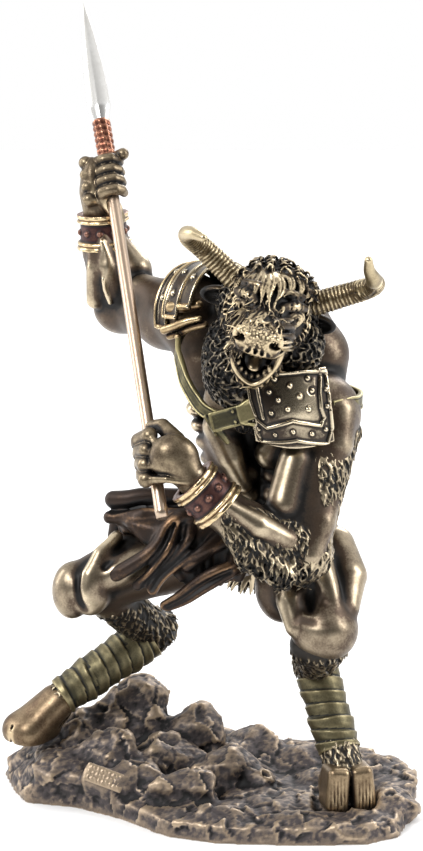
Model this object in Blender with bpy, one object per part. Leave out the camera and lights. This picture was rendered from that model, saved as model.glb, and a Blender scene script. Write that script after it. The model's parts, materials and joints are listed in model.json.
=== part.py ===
"""Minotaur figurine, cold-cast bronze, about 300 mm tall.

A bull-headed fighter crouches on a rock with a straight spear in both fists. The figure is one
casting with its armour, kilt and leg wraps, the spear is a rod of its own, and the rock is the base.
Metres, +Z up. The origin is on the flat underside, and the figure faces -Y.
"""

import random
from math import atan2, cos, pi, sin

import bmesh
import bpy
from mathutils import Matrix, Vector

# Driving sizes, in metres
FIGURE_HEIGHT = 0.240
SPEAR_BELOW_FIST = 0.0260
SHAFT_RADIUS = 0.0024
BINDING_ABOVE_FIST = 0.0008
BINDING_RADIUS = 0.0037
BINDING_LENGTH = 0.0160
BLADE_LENGTH = 0.0550
BLADE_WIDTH = 0.0092
BLADE_THICKNESS = 0.0050
BLADE_EDGE = 0.0004
FIT_GAP = 0.0003
ROCK_RIM_HEIGHT = 0.0070
ROCK_BEYOND_RIGHT_HOOF = 0.0135
ROCK_BEYOND_LEFT_HOOF = 0.0310
ROCK_BEFORE_LEFT_HOOF = 0.0328
ROCK_BEHIND_RIGHT_HOOF = 0.0400
ROCK_PEAK_HEIGHT = 0.0430
TABLET_LENGTH = 0.0160
TABLET_HEIGHT = 0.0075
TABLET_THICKNESS = 0.0035

# Fineness of the two modelled skins, in metres and triangles
FIGURE_GRAIN = 0.0010
FIGURE_TRIANGLES = 6950
ROCK_GRAIN = 0.0013
ROCK_TRIANGLES = 1600

# The pose is given in 240ths of the figure's height, which are millimetres at its real size
UNIT = FIGURE_HEIGHT / 240

RIGHT_GRIP = (-38.9, 44.2, 236.2)
LEFT_GRIP = (-21.8, -28.8, 146.4)
FINGER_RADIUS = 2.35
FIST_HALF = 9.4
RIGHT_SOLE = (-70.3, 15.0, 20.3)
LEFT_SOLE = (51.2, -17.0, 5.3)
RIGHT_CANNON = ((-22.5, 26, 60), (-57.5, 16, 37.5))
LEFT_CANNON = ((40, 7, 53), (48.5, -9, 25.5))


def at(place):
    return Vector(place) * UNIT


def clear_scene():
    for obj in list(bpy.data.objects):
        bpy.data.objects.remove(obj, do_unlink=True)


def material(name, colour, roughness, metallic):
    made = bpy.data.materials.new(name)
    made.use_nodes = True
    shader = made.node_tree.nodes["Principled BSDF"]
    shader.inputs["Base Color"].default_value = (*colour, 1)
    shader.inputs["Roughness"].default_value = roughness
    shader.inputs["Metallic"].default_value = metallic
    return made


def object_of(name, bm, made=None):
    mesh = bpy.data.meshes.new(name)
    bm.to_mesh(mesh)
    bm.free()
    obj = bpy.data.objects.new(name, mesh)
    bpy.context.scene.collection.objects.link(obj)
    if made:
        mesh.materials.append(made)
    return obj


# Shapes that the figure is built up from, like pellets of clay

class Clay:
    """Closed shapes that overlap, gathered before they become one skin."""

    def __init__(self):
        self.points = []
        self.faces = []

    def add(self, points, faces):
        first = len(self.points)
        self.points += points
        self.faces += [[first + i for i in face] for face in faces]

    def mesh(self, name):
        mesh = bpy.data.meshes.new(name)
        mesh.from_pydata(self.points, [], self.faces)
        return mesh


def ball(fineness):
    """The points and faces of a ball of radius 1."""
    bm = bmesh.new()
    bmesh.ops.create_icosphere(bm, subdivisions=fineness, radius=1)
    bm.verts.index_update()
    points = [vert.co.copy() for vert in bm.verts]
    faces = [[vert.index for vert in face.verts] for face in bm.faces]
    bm.free()
    return points, faces


BALLS = {fineness: ball(fineness) for fineness in (1, 2, 3)}


def stretched_round(points):
    """The points and faces of the convex skin round some points."""
    bm = bmesh.new()
    made = bmesh.ops.convex_hull(bm, input=[bm.verts.new(point) for point in points])
    inner = [item for item in made["geom_interior"] if isinstance(item, bmesh.types.BMVert)]
    bmesh.ops.delete(bm, geom=inner, context="VERTS")
    bmesh.ops.recalc_face_normals(bm, faces=bm.faces)
    bm.verts.index_update()
    skin = [vert.co.copy() for vert in bm.verts]
    faces = [[vert.index for vert in face.verts] for face in bm.faces]
    bm.free()
    return skin, faces


def hull(clay, balls):
    """The skin stretched round some balls, each given as (place, radius) in figure units."""
    points = []
    for place, radius in balls:
        fineness = 3 if radius > 7 else 2 if radius > 1.4 else 1
        points += [(Vector(place) + point * radius) * UNIT for point in BALLS[fineness][0]]
    clay.add(*stretched_round(points))


def limb(clay, start, end, start_radius, end_radius):
    hull(clay, [(start, start_radius), (end, end_radius)])


def chain(clay, places, radii):
    for first, second, r1, r2 in zip(places, places[1:], radii, radii[1:]):
        limb(clay, first, second, r1, r2)


def lump(clay, place, radii, axes=None):
    turn = Matrix(axes).transposed() if axes else Matrix.Identity(3)
    shape = turn @ Matrix.Diagonal(radii)
    points, faces = BALLS[3 if max(radii) > 6 else 2]
    clay.add([(Vector(place) + shape @ point) * UNIT for point in points], faces)


def sheet(clay, rows, radius):
    """A skin of even thickness laid through rows of places."""
    for row, following in zip(rows, rows[1:]):
        for i in range(len(row) - 1):
            corners = (row[i], row[i + 1], following[i], following[i + 1])
            hull(clay, [(corner, radius) for corner in corners])


def mix(a, b, share):
    return tuple(p + (q - p) * share for p, q in zip(a, b))


def curve_through(places, count):
    """Places spaced along a smooth curve through the given ones."""
    ends = [places[0], *places, places[-1]]
    found = []
    for step in range(count):
        along = step * (len(places) - 1) / (count - 1)
        i = min(int(along), len(places) - 2)
        t = along - i
        p0, p1, p2, p3 = (Vector(place) for place in ends[i:i + 4])
        found.append(tuple(0.5 * (
            2 * p1 + (p2 - p0) * t + (2 * p0 - 5 * p1 + 4 * p2 - p3) * t ** 2
            + (3 * p1 - p0 - 3 * p2 + p3) * t ** 3
        )))
    return found


# Torso, neck and shoulders

def torso(clay):
    lump(clay, (23, 14, 107), (20, 16, 15))
    limb(clay, (22, 10, 114), (20, 4, 130), 16.5, 15.5)
    lump(clay, (22, 5, 156), (25, 18, 24))
    lump(clay, (18, 14, 184), (27, 16, 19))
    limb(clay, (14, 14, 186), (29, 8, 181), 17, 14.5)
    limb(clay, (-3, 10, 176), (7, 8, 138), 11, 9)
    limb(clay, (40, 6, 176), (36, 8, 132), 12, 9)
    limb(clay, (16, 8, 190), (21, -12, 202), 17, 14)
    lump(clay, (9, -14, 163), (12, 9, 12))
    lump(clay, (32, -14, 160), (13, 9, 13))
    limb(clay, (4, -14, 152), (14, -15, 144), 7.5, 6)
    limb(clay, (5, -6, 146), (9, -6, 130), 9, 9)
    limb(clay, (30, -15, 150), (22, -15, 143), 8, 6)
    for side in (-1, 1):
        for row in range(3):
            lump(clay, (19.5 + 5.2 * side, -10.5 + row * 1.4, 134 - 8 * row), (5.6, 4.5, 4.6))


def arms(clay):
    lump(clay, (-8, 12, 192), (14, 14, 13))
    chain(clay, [(-8, 13, 190), (-20, 30, 187.5), (-33, 46, 186)], [13.5, 12, 9])
    lump(clay, (-17, 22, 185), (11, 11, 10))
    chain(clay, [(-34, 47, 186.5), (-33.5, 46, 197), (-39, 46, 208), (-41, 46, 217)], [9.8, 13.0, 10.2, 7.6])
    lump(clay, (41, -9, 158), (13.5, 13, 14))
    chain(clay, [(42, -10, 156), (38, -20, 136), (32, -29, 112)], [13, 12, 12])
    lump(clay, (27, -27, 127), (7, 7, 12))
    chain(clay, [(32, -29, 111), (20, -34, 115), (2, -40, 130)], [12, 11.5, 7.6])
    limb(clay, (2, -40, 130), (-9, -40, 142), 7.6, 6)
    cuff(clay, (-41.3, 46, 212), (-41.8, 46, 222), 8.4)
    cuff(clay, (1.5, -40.5, 130.5), (-6.5, -40.5, 138.5), 9.0)


def cuff(clay, start, end, radius):
    """A leather band on the wrist, with a raised rim at each edge and a row of rivets."""
    limb(clay, start, end, radius - 0.9, radius - 1.1)
    axis = (Vector(end) - Vector(start)).normalized()
    side = axis.orthogonal().normalized()
    other = axis.cross(side)
    turns = 14
    for along, out in ((0.06, 0.0), (0.94, -0.3)):
        middle = Vector(mix(start, end, along))
        ring = [
            tuple(middle + (side * cos(2 * pi * i / turns) + other * sin(2 * pi * i / turns))
                  * (radius - 0.9 + out)) for i in range(turns + 1)
        ]
        chain(clay, ring, [1.25] * len(ring))
    middle = Vector(mix(start, end, 0.5))
    for i in range(8):
        turn = 2 * pi * i / 8
        stud = middle + (side * cos(turn) + other * sin(turn)) * (radius - 0.7)
        lump(clay, tuple(stud), (1.0, 1.0, 1.0))


def grip_frame(grip):
    """The shaft's direction at a fist, and two directions square to it: to the front and to +X."""
    along = (Vector(RIGHT_GRIP) - Vector(LEFT_GRIP)).normalized()
    front = (Vector((0, -1, 0)) - along * along.dot(Vector((0, -1, 0)))).normalized()
    return Vector(grip), along, front, along.cross(front)


def finger(clay, grip, height, start, sweep, knuckle, thickness):
    """One finger bent round the shaft, from its knuckle."""
    middle, along, front, side = grip_frame(grip)
    bend = SHAFT_RADIUS / UNIT + thickness * 0.95
    places = [knuckle]
    for i in range(6):
        turn = start + sweep * i / 5
        places.append(tuple(
            middle + along * height + (front * cos(turn) + side * sin(turn)) * bend
        ))
    chain(clay, places, [thickness * 1.15] + [thickness] * 6)


def hands(clay):
    limb(clay, (-42, 46, 220), (-44.5, 44, 230), 6.6, 6.2)
    lump(clay, (-46, 47, 234.5), (4.6, 7, 10.5))
    for i, height in enumerate((-6.6, -2.1, 2.4, 6.9)):
        knuckle = (-47.0 - 0.5 * i, 39 + 2.6 * i, 229.5 + 4.3 * i)
        finger(clay, RIGHT_GRIP, height, -2.0, 3.6, knuckle, FINGER_RADIUS)
    chain(clay, [(-45, 53, 234), (-38, 51, 243), (-34, 46.5, 246)], [3.4, 2.7, 2.4])
    lump(clay, (-13.5, -39.5, 147.5), (9.5, 6.2, 9), (
        (0.79, 0, -0.61), (0, 1, 0), (0.61, 0, 0.79)))
    limb(clay, (-9, -40, 142), (-15, -38.5, 148), 6.2, 6.6)
    for i, height in enumerate((-8.0, -3.6, 0.8, 5.2)):
        knuckle = (-24.5 - 0.5 * i + 0.3 * i * i, -38.5 + 2.0 * i, 139.5 + 5.0 * i)
        finger(clay, LEFT_GRIP, height, -1.0, -3.4, knuckle, 2.8)
    chain(clay, [(-13, -35, 153), (-18, -29, 157), (-22, -25.5, 156)], [3.6, 2.9, 2.4])


# Head, given in its own frame: across to its left, along the nose and up out of the skull

SKULL = Vector((22.0, -22.0, 204.0))
NOSEWARD = Vector((-0.156, -0.916, -0.369)).normalized()
ACROSS = Vector((0.966, -0.063, -0.251)).cross(NOSEWARD).cross(NOSEWARD).normalized() * -1
UPWARD = NOSEWARD.cross(ACROSS)
HEAD_AXES = (tuple(ACROSS), tuple(NOSEWARD), tuple(UPWARD))


def on_head(across, noseward, upward):
    return tuple(SKULL + ACROSS * across + NOSEWARD * noseward + UPWARD * upward)


def head(clay):
    def feature(place, radii):
        lump(clay, on_head(*place), radii, HEAD_AXES)

    feature((0, -2, 0), (13.5, 13, 12))
    limb(clay, on_head(0, 4, 0), on_head(0, 30, 3.5), 10.5, 7)
    feature((0, 34, 3.8), (8.2, 5.5, 5.2))
    feature((0, 36, 0.5), (7.6, 4, 3.2))
    feature((0, 12, 7.5), (7, 9, 3.5))
    for side in (-1, 1):
        feature((6.2 * side, 38.2, 4.8), (3.0, 2.2, 2.6))
        feature((8.2 * side, 10, 6.2), (5.4, 4.6, 2.8))
        feature((10.6 * side, 10.6, 1.6), (2.4, 2.6, 2.2))
        feature((10.2 * side, 9, -5.0), (4.5, 9, 6))
        feature((7.6 * side, 22, 0.5), (4, 8, 4))
        ear(clay, side)
    for route in HORN_ROUTES:
        horn(clay, route)
    jaw(clay)


def jaw(clay):
    """The dropped lower jaw, an open trough with the tongue in it."""
    rim = [(-9.2, 24, -4.5), (-9, 27, -10), (-6.2, 29.5, -15.5), (0, 30.5, -18.2)]
    throat = [(-9.5, 9, -6), (-9, 10, -12), (-6, 12, -17), (0, 13, -19.5)]
    rows = []
    for step in range(4):
        half = [mix(front, back, step / 3) for front, back in zip(rim, throat)]
        whole = half + [(-across, noseward, upward) for across, noseward, upward in half[-2::-1]]
        rows.append([on_head(*place) for place in curve_through(whole, 13)])
    sheet(clay, rows, 1.5)
    chain(clay, rows[0], [1.9] * 13)
    sheet(clay, [rows[-1], [on_head(0, 9, -9)] * 13], 2.0)
    chain(clay, [on_head(0, 12, -10), on_head(0, 21, -13), on_head(0, 27, -14.5)], [4.0, 3.2, 2.2])


def ear(clay, side):
    root, tip = on_head(12 * side, -4, -5), on_head(23 * side, -1, -9.5)
    middle = on_head(18 * side, -2.5, -8)
    limb(clay, root, middle, 2.6, 3.4)
    limb(clay, middle, tip, 3.4, 1.3)


HORN_ROUTES = (
    ((-8, -3, -1), (-13.4, -4, 0.3), (-21.9, -7, 3.8), (-29.4, -8, 8), (-34.4, -4, 13.1), (-35.6, 2, 18.6),
     (-33.4, 7, 22.8), (-29.3, 11, 24.7)),
    ((9, -3, -2), (15.1, -4, -1), (24.9, -7, 3.8), (31.4, -7, 8.6), (35.2, -2, 15.6), (33.8, 4, 21.9),
     (31.4, 7, 27), (30, 8.3, 32)),
)
HORN_ROOT_RADIUS = 4.7
HORN_TIP_RADIUS = 1.5
HORN_RING = 0.3


def horn(clay, route):
    """A ringed horn that leaves the skull sideways, sweeps forward and ends pointing up."""
    count = 22
    places = curve_through([on_head(*place) for place in route], count)
    taper = HORN_ROOT_RADIUS - HORN_TIP_RADIUS
    radii = [HORN_ROOT_RADIUS - taper * (i / (count - 1)) ** 2.4 + HORN_RING * (i % 2) for i in range(count)]
    chain(clay, places, radii)


# Fur, as separate locks that lie over each other like tiles

def lock(clay, root, direction, lift, length, thickness):
    """A tapering lock that lies back along a direction and curls out at its tip."""
    root, direction, lift = Vector(root), Vector(direction).normalized(), Vector(lift).normalized()
    middle = root + direction * length * 0.55 + lift * thickness * 0.7
    tip = root + direction * length + lift * thickness * 0.5
    chain(clay, [tuple(root), tuple(middle), tuple(tip)], [thickness, thickness * 0.85, thickness * 0.3])


def forelock_and_beard(clay):
    draw = random.Random(7)
    for row, noseward, upward in ((0, -6, 10.5), (1, 0, 11.6), (2, 6, 10.2)):
        for i in range(-3, 4):
            across = i * 3.6 + 1.5 * (row % 2)
            root = on_head(across, noseward, upward - 0.12 * across ** 2)
            towards = ACROSS * (0.10 * across) + NOSEWARD * 0.9 + UPWARD * -0.25
            lock(clay, root, towards, UPWARD, draw.uniform(5.5, 7.5), 1.9)
    for side in (-1, 1):
        for i in range(6):
            along = 3 + 4.2 * i
            root = on_head((12.5 - 0.25 * i) * side, along - 8, -4 - 1.6 * i)
            towards = ACROSS * 0.7 * side + NOSEWARD * -0.3 + UPWARD * -0.9
            lock(clay, root, towards, ACROSS * side, draw.uniform(6, 8.5), 2.3)
    for i in range(5):
        root = on_head(-6 + 3 * i, 22, -20)
        lock(clay, root, UPWARD * -1 + NOSEWARD * -0.5, NOSEWARD, draw.uniform(5, 7), 1.9)


def mane(clay):
    lump(clay, (6, -15, 178), (14, 15, 19))
    lump(clay, (33, -17, 186), (13, 13, 12))
    limb(clay, (8, -24, 176), (13, -27, 160), 9, 4.5)
    draw = random.Random(11)
    for row in range(6):
        for i in range(6):
            turn = -2.35 + 0.42 * i + 0.2 * (row % 2)
            height = 190 - 5.6 * row
            spread = 14.2 - 0.05 * (row - 2) ** 2
            root = (6 + spread * cos(turn), -15 + spread * sin(turn) * 1.05, height)
            out = (cos(turn), sin(turn), -0.1)
            lock(clay, root, (0.25 * cos(turn), 0.25 * sin(turn), -1), out, draw.uniform(6.5, 8.5), 2.0)


def arm_fur(clay):
    """Locks on the outside of the bent left arm, longest round the elbow."""
    draw = random.Random(5)
    route = [(50, -14, 150), (45.5, -22, 136), (40, -31, 120), (33, -38, 107), (22, -40, 103), (12, -42, 111)]
    hangs = [(0.4, -0.2, -1), (0.3, -0.3, -1), (0.2, -0.3, -1), (-0.1, -0.3, -1), (-0.4, -0.1, -1),
             (-0.5, 0, -0.8)]
    for row in range(4):
        for i in range(12):
            share = i / 11
            place = Vector(curve_through(route, 12)[i])
            hang = Vector(curve_through(hangs, 12)[i])
            inward = (Vector((30, -24, 124)) - place) * 0.17 * row
            root = place + inward + Vector((0, -0.6 * row, 0))
            length = draw.uniform(5.5, 7.5) * (0.75 + 0.5 * sin(pi * share))
            lock(clay, tuple(root), hang, (0.1, -1, 0), length, 2.1)


def tail(clay):
    chain(clay, [(20, 29, 100), (21, 36, 92), (17, 33, 84)], [4, 3, 3.2])
    for i in range(7):
        turn = 2 * pi * i / 7
        root = (15.5 + 2.6 * cos(turn), 32 + 2.6 * sin(turn), 84)
        hang = (-0.35 + 0.35 * cos(turn), 0.3 * sin(turn), -0.9)
        lock(clay, root, hang, (cos(turn), sin(turn), 0), 10, 2.4)


# Legs: thigh, shin, bound cannon and cloven hoof

def legs(clay):
    chain(clay, [(10, 14, 104), (-20, 5, 97), (-47, -5, 89)], [17, 15.5, 11])
    lump(clay, (-49, -7, 88.5), (11.5, 10.5, 11))
    lump(clay, (-41, 2, 84.5), (9.5, 9, 9))
    chain(clay, [(-41, 1, 84), (-32, 13, 72), (-23, 26, 61)], [9, 8.2, 7.8])
    lump(clay, (-21, 29, 61.5), (7.4, 7, 7.5))
    bound_cannon(clay, *RIGHT_CANNON, 7.6, 7.4)
    hoof(clay, (-58, 16, 36), RIGHT_SOLE, (-0.72, -0.69, 0), 8.6)
    chain(clay, [(33, 12, 102), (38, -8, 93), (42, -25, 80)], [16.5, 16, 12.5])
    lump(clay, (41.6, -27, 77), (13, 12.5, 11.6))
    lump(clay, (40, -34, 84), (6.5, 5, 9))
    lump(clay, (27, -9, 89.5), (11, 12, 14))
    chain(clay, [(41, -20, 70), (40, -4, 60), (40, 7, 54)], [10.5, 8.4, 8])
    lump(clay, (40, 11, 54), (7, 7, 7.5))
    bound_cannon(clay, *LEFT_CANNON, 7.9, 7.2)
    hoof(clay, (49, -11, 24), LEFT_SOLE, (0.2, -0.98, 0), 9.6)


def bound_cannon(clay, top, bottom, top_radius, bottom_radius):
    """The lower leg, bound with a cloth strip in slanting turns."""
    limb(clay, top, bottom, top_radius - 0.6, bottom_radius - 0.6)
    axis = (Vector(bottom) - Vector(top)).normalized()
    side = axis.orthogonal().normalized()
    other = axis.cross(side)
    turns, bands = 10, 8
    for band in range(bands):
        share = 0.16 + 0.8 * band / (bands - 1)
        middle = Vector(mix(top, bottom, share))
        radius = top_radius + (bottom_radius - top_radius) * share - 0.9
        slant = 0.22 if band % 2 else -0.18
        ring = []
        for i in range(turns + 1):
            out = side * cos(2 * pi * i / turns) + other * sin(2 * pi * i / turns)
            ring.append(tuple(middle + (out + axis * slant * cos(2 * pi * i / turns + band)) * radius))
        chain(clay, ring, [1.5] * len(ring))


def hoof(clay, ankle, sole, heading, width):
    """A cloven hoof: two claws side by side on a flat sole, under a fringe of hair."""
    heading = Vector(heading)
    beside = Vector((-heading.y, heading.x, 0))
    sole = Vector(sole)
    ankle = Vector(ankle)
    claw = width * 0.5
    for side in (-1, 1):
        foot = sole + beside * side * claw * 1.02
        top = sole + (ankle - sole) * 0.72 + beside * side * claw * 0.72
        hull(clay, [
            (tuple(foot + heading * claw * 1.35 + Vector((0, 0, 1.2))), claw * 0.62),
            (tuple(foot - heading * claw * 0.9 + Vector((0, 0, 1.8))), claw * 0.82),
            (tuple(top + heading * claw * 0.4), claw * 0.76),
            (tuple(top - heading * claw * 0.6), claw * 0.8),
        ])
    lump(clay, tuple(sole + (ankle - sole) * 0.86), (width * 0.8, width * 0.8, 4.2))
    for i in range(9):
        turn = atan2(heading.y, heading.x) - 1.6 + 3.2 * i / 8
        out = Vector((cos(turn), sin(turn), 0))
        root = sole + (ankle - sole) * 0.9 + out * width * 0.62
        lock(clay, tuple(root), tuple((sole - ankle).normalized() + out * 0.35), tuple(out), 4.5, 1.6)


# Cloth and armour

RIVET_RADII = (1.3, 1.3, 1.3)


def kilt(clay):
    """A heavy cloth skirt thrown over the right thigh, open at the left thigh."""
    waist = [(14, -12, 116), (4, -8, 120), (0, 2, 121), (2, 16, 121), (14, 29, 119), (30, 30, 117),
             (41, 20, 116), (42, 8, 116)]
    spread = [(10, -14, 106), (-10, -13, 111), (-30, -10, 114), (-33, 8, 115), (-18, 27, 108),
              (10, 36, 102), (36, 31, 104), (45, 17, 106)]
    hem = [(12, -10, 94), (-8, -15, 84), (-27, -18, 89), (-41, -8, 97), (-37, 18, 96), (-12, 34, 90),
           (20, 38, 86), (43, 27, 92), (45, 14, 100)]
    count = 46
    rows = []
    for depth, edge in enumerate((waist, spread, hem)):
        places = curve_through(edge, count)
        fold = (0.2, 1.5, 3.0)[depth]
        row = []
        for i, place in enumerate(places):
            out = Vector((place[0] - 16, place[1] - 10, 0)).normalized()
            wave = sin(i * 1.55) + 0.45 * sin(i * 0.71 + 1)
            drop = 0.35 * fold * sin(i * 0.9 + 2)
            row.append(tuple(Vector(place) + out * fold * wave + Vector((0, 0, drop))))
        rows.append(row)
    middle = [mix(upper, lower, 0.5) for upper, lower in zip(rows[1], rows[2])]
    middle = [tuple(Vector(p) + Vector((p[0] - 16, p[1] - 10, 0)).normalized() * 1.6) for p in middle]
    sheet(clay, [rows[0], rows[1], middle, rows[2]], 1.35)
    folds = (
        (((2, -2, 122), (-16, -2, 122.8), (-31.8, -1.6, 121.8), (-37.2, 0.6, 120.9)), 3.1, 3.4),
        (((5, -8, 117), (-8, -10, 117.6), (-21, -6.4, 118), (-34.6, -3.4, 115), (-38.6, -2, 114.6)), 2.6, 2.4),
        (((0, -10, 119), (-17, -13.6, 114), (-23, -17.4, 105), (-34.6, -17.2, 97), (-37.6, -14.5, 95)), 2.4, 3.1),
        (((0, -11, 118), (-13.8, -13.9, 112.2), (-20.5, -18.1, 100.7), (-27.9, -18, 92.5)), 1.9, 2.2),
        (((2, -11, 117), (-8.3, -16.7, 110.5), (-15.1, -17, 101.4), (-23, -19.8, 93.2)), 2.1, 1.8),
        (((6, -12, 113), (-4.6, -18.9, 105.4), (-14.4, -18, 99.6), (-22, -20.2, 91)), 2.3, 1.9),
        (((9, -15, 106), (1.4, -21, 99), (-9.6, -20.2, 91.1), (-17.8, -19.6, 85.2)), 2.2, 1.9),
        (((10, -15, 100), (2.7, -19.8, 94.8), (-9.5, -20.2, 87.2), (-16, -19, 84.2)), 1.9, 1.7),
        (((11, -14, 108), (12, -15.5, 101), (10.5, -15, 94.5)), 2.2, 1.8),
    )
    for route, start_radius, end_radius in folds:
        count = 3 * len(route) - 2
        radii = [start_radius + (end_radius - start_radius) * i / (count - 1) for i in range(count)]
        chain(clay, curve_through(route, count), radii)
    belt = ((8, -15, 116), (-2, -4, 122), (0, 18, 123), (22, 30, 120), (41, 20, 118), (42, 4, 117))
    chain(clay, curve_through(belt, 16), [2.4] * 16)


def shoulder_plates(clay):
    """Three plates that lap over the raised shoulder, each with a rolled rim and two rivets."""
    middle = Vector((-3, 9, 190))
    along = Vector((-0.62, 0.77, -0.10)).normalized()
    forward = along.cross(Vector((0, 0, 1))).normalized()
    upward = forward.cross(along)
    steps = 9
    plates = ((-12.5, 9.5, 17.6, 21.6, 1.3), (-5, 10.5, 17.8, 21.4, 1.5), (3, 8, 17.6, 20.4, 1.7))
    for start, width, across, high, last_turn in plates:
        rows = []
        for i in range(steps):
            turn = -1.3 + (last_turn + 1.3) * i / (steps - 1)
            out = forward * sin(turn) * across + upward * cos(turn) * high
            rows.append([middle + along * (start + width * v) + out * (1 - 0.08 * v) for v in (0, 0.42, 1)])
        sheet(clay, rows, 0.8)
        chain(clay, [row[-1] for row in rows], [1.35] * steps)
        for row in rows[5:8:2]:
            lump(clay, row[1] + (row[1] - middle).normalized(), RIVET_RADII)


STRAP_EDGE_RADIUS = 1.4
PLATE_CORNERS = ((12.6, -28.5, 177.5), (41.5, -24.0, 178.5), (16.6, -32.0, 152.6), (45.0, -24.5, 150.6))
PLATE_RIMS = (
    ((0.0, 0.0), (0.012, 0.4), (0.06, 0.66), (0.08, 0.97)),
    ((0.125, 0.0), (0.14, 0.64)),
    ((0.06, 0.66), (0.17, 0.75), (0.5, 0.62), (0.84, 0.73), (0.9, 0.63)),
    ((0.08, 0.97), (0.3, 0.93), (0.52, 0.89), (0.9, 1.0), (0.985, 0.8)),
    ((0.9, 0.0), (0.88, 0.3), (0.9, 0.63)),
    ((0.985, 0.06), (0.985, 0.8)),
    ((0.0, 0.0), (0.985, 0.06)),
)
PLATE_RIVETS = (
    (0.6, 0.1), (0.755, 0.12), (0.525, 0.2), (0.63, 0.31), (0.79, 0.27), (0.72, 0.49), (0.46, 0.47),
    (0.26, 0.5), (0.36, 0.35), (0.26, 0.25), (0.35, 0.1), (0.26, 0.84), (0.49, 0.77), (0.72, 0.82),
    (0.9, 0.8), (0.95, 0.3),
)


def on_plate(u, v, lift=0.0):
    """A place on the chest plate, across and down it, raised off its face by the lift."""
    upper, lower = mix(*PLATE_CORNERS[:2], u), mix(*PLATE_CORNERS[2:], u)
    x, y, z = mix(upper, lower, v)
    bulge = 7.8 * sin(pi * (0.12 + 0.76 * u)) + 2.0 * sin(pi * v) - 1.8
    return x, y - bulge - lift, z - 1.5 * sin(pi * u) * v


def chest_plate(clay):
    """The riveted plate that hangs from the left shoulder over the chest, with fur over its top edge."""
    steps = [i / 8 for i in range(9)]
    sheet(clay, [[on_plate(u, v) for u in steps] for v in steps], 1.0)
    for rim in PLATE_RIMS:
        line = [mix(a, b, i / 3) for a, b in zip(rim, rim[1:]) for i in range(3)] + [rim[-1]]
        chain(clay, [on_plate(u, v, 1.1) for u, v in line], [1.05] * len(line))
    for u, v in PLATE_RIVETS:
        lump(clay, on_plate(u, v, 1.5), RIVET_RADII)
    for i in range(6):
        start, end = Vector((17 + 5 * i, -22, 183 - 0.6 * abs(i - 2))), Vector((18 + 4.6 * i, -31, 177))
        lock(clay, start, end - start, (0, -1, 0.3), 8, 2.2)


def strap(clay, places, width):
    """A flat band along some places, as two bars side by side."""
    line = [Vector(place) for place in curve_through(places, 14)]
    for side in (-1, 1):
        edge = []
        for place, before, after in zip(line, line[:1] + line, line[1:] + line[-1:]):
            beside = (after - before).cross(place - Vector((14, -2, place.z))).normalized()
            edge.append(place + beside * side * (width / 2 - STRAP_EDGE_RADIUS))
        chain(clay, edge, [STRAP_EDGE_RADIUS] * len(edge))


def straps(clay):
    front = ((-10, 0, 190), (-11.8, -6.5, 186.2), (-12.5, -13.2, 181.5), (-11.6, -18, 178.1), (-9.9, -22.6, 172.9),
             (-7, -26.2, 168), (-3.5, -29.6, 163.8), (1, -32, 161.5))
    back = ((-10, 2, 192), (-9, 14, 204), (6, 30.5, 192), (22, 33.8, 170), (38, 25.8, 150), (45, 9, 145))
    around = ((45, -21.5, 162), (50.2, -17.6, 162.4), (54.6, -11.4, 161.6), (55.6, -2, 161.4), (50, 7, 162))
    for places in (front, back, around):
        strap(clay, places, 5.2)
    right, out = Vector((10.4, -1.6, 3.2)).normalized(), Vector((-0.05, -0.98, 0.2)).normalized()
    high = right.cross(out)
    buckle = Vector((4.9, -32.6, 160.6))
    corners = [buckle + right * x * 4.6 + high * z * 2.9 for x in (-1, 1) for z in (-1, 1)]
    hull(clay, [(corner, 1.2) for corner in corners])
    hull(clay, [(corner + right * 3, 1.0) for corner in corners])


# Turning the clay into one skin, and cutting what fits into it

DETAIL_PREFERENCE = 0.03
DETAILED_PLACES = (
    ((-14, -18, 102), 26, 0.5), ((8, -22, 176), 16, 0.3), ((-40, 44, 236), 17, 0.8), ((-17, -37, 147), 15, 0.8),
    (on_head(0, 24, -2), 25, 0.9), ((30, -32, 164), 21, 0.9),
)


def skinned(name, clay, grain, smoothing, triangles, made, detailed=()):
    """One closed skin round overlapping shapes, in few triangles that keep to the detailed places."""
    rough = bpy.data.objects.new(name + "_clay", clay.mesh(name + "_clay"))
    bpy.context.scene.collection.objects.link(rough)
    remesh = rough.modifiers.new("Skin", "REMESH")
    remesh.mode = "VOXEL"
    remesh.voxel_size = grain
    smooth = rough.modifiers.new("Smooth", "SMOOTH")
    smooth.factor = 0.5
    smooth.iterations = smoothing
    fine = evaluated(rough)
    drop_loose_skins(fine)
    fine = object_of(name + "_fine", fine)
    decimate = fine.modifiers.new("Fewer faces", "DECIMATE")
    decimate.ratio = triangles / (2 * len(fine.data.polygons))
    if detailed:
        kept = fine.vertex_groups.new(name="kept detail")
        decimate.vertex_group = kept.name
        decimate.vertex_group_factor = DETAIL_PREFERENCE
        decimate.invert_vertex_group = True
    for place, radius, weight in detailed:
        middle = at(place)
        near = [vert.index for vert in fine.data.vertices if (vert.co - middle).length < radius * UNIT]
        kept.add(near, weight, "REPLACE")
    few = evaluated(fine)
    open_pinches(few)
    return object_of(name, few, made)


def evaluated(obj):
    """The object's mesh with its modifiers applied. The object itself is removed."""
    graph = bpy.context.evaluated_depsgraph_get()
    mesh = bpy.data.meshes.new_from_object(obj.evaluated_get(graph))
    bpy.data.objects.remove(obj, do_unlink=True)
    bm = bmesh.new()
    bm.from_mesh(mesh)
    return bm


def open_pinches(bm):
    """Merges the ends of each edge where the skin touches itself, which shows as two edges in one place."""
    bmesh.ops.triangulate(bm, faces=bm.faces)
    pinched = True
    while pinched:
        seen = set()
        pinched = []
        for edge in bm.edges:
            ends = frozenset(edge.verts)
            if ends in seen or len(edge.link_faces) > 2:
                pinched.append(edge)
            seen.add(ends)
        bmesh.ops.collapse(bm, edges=pinched[:1])


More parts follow.
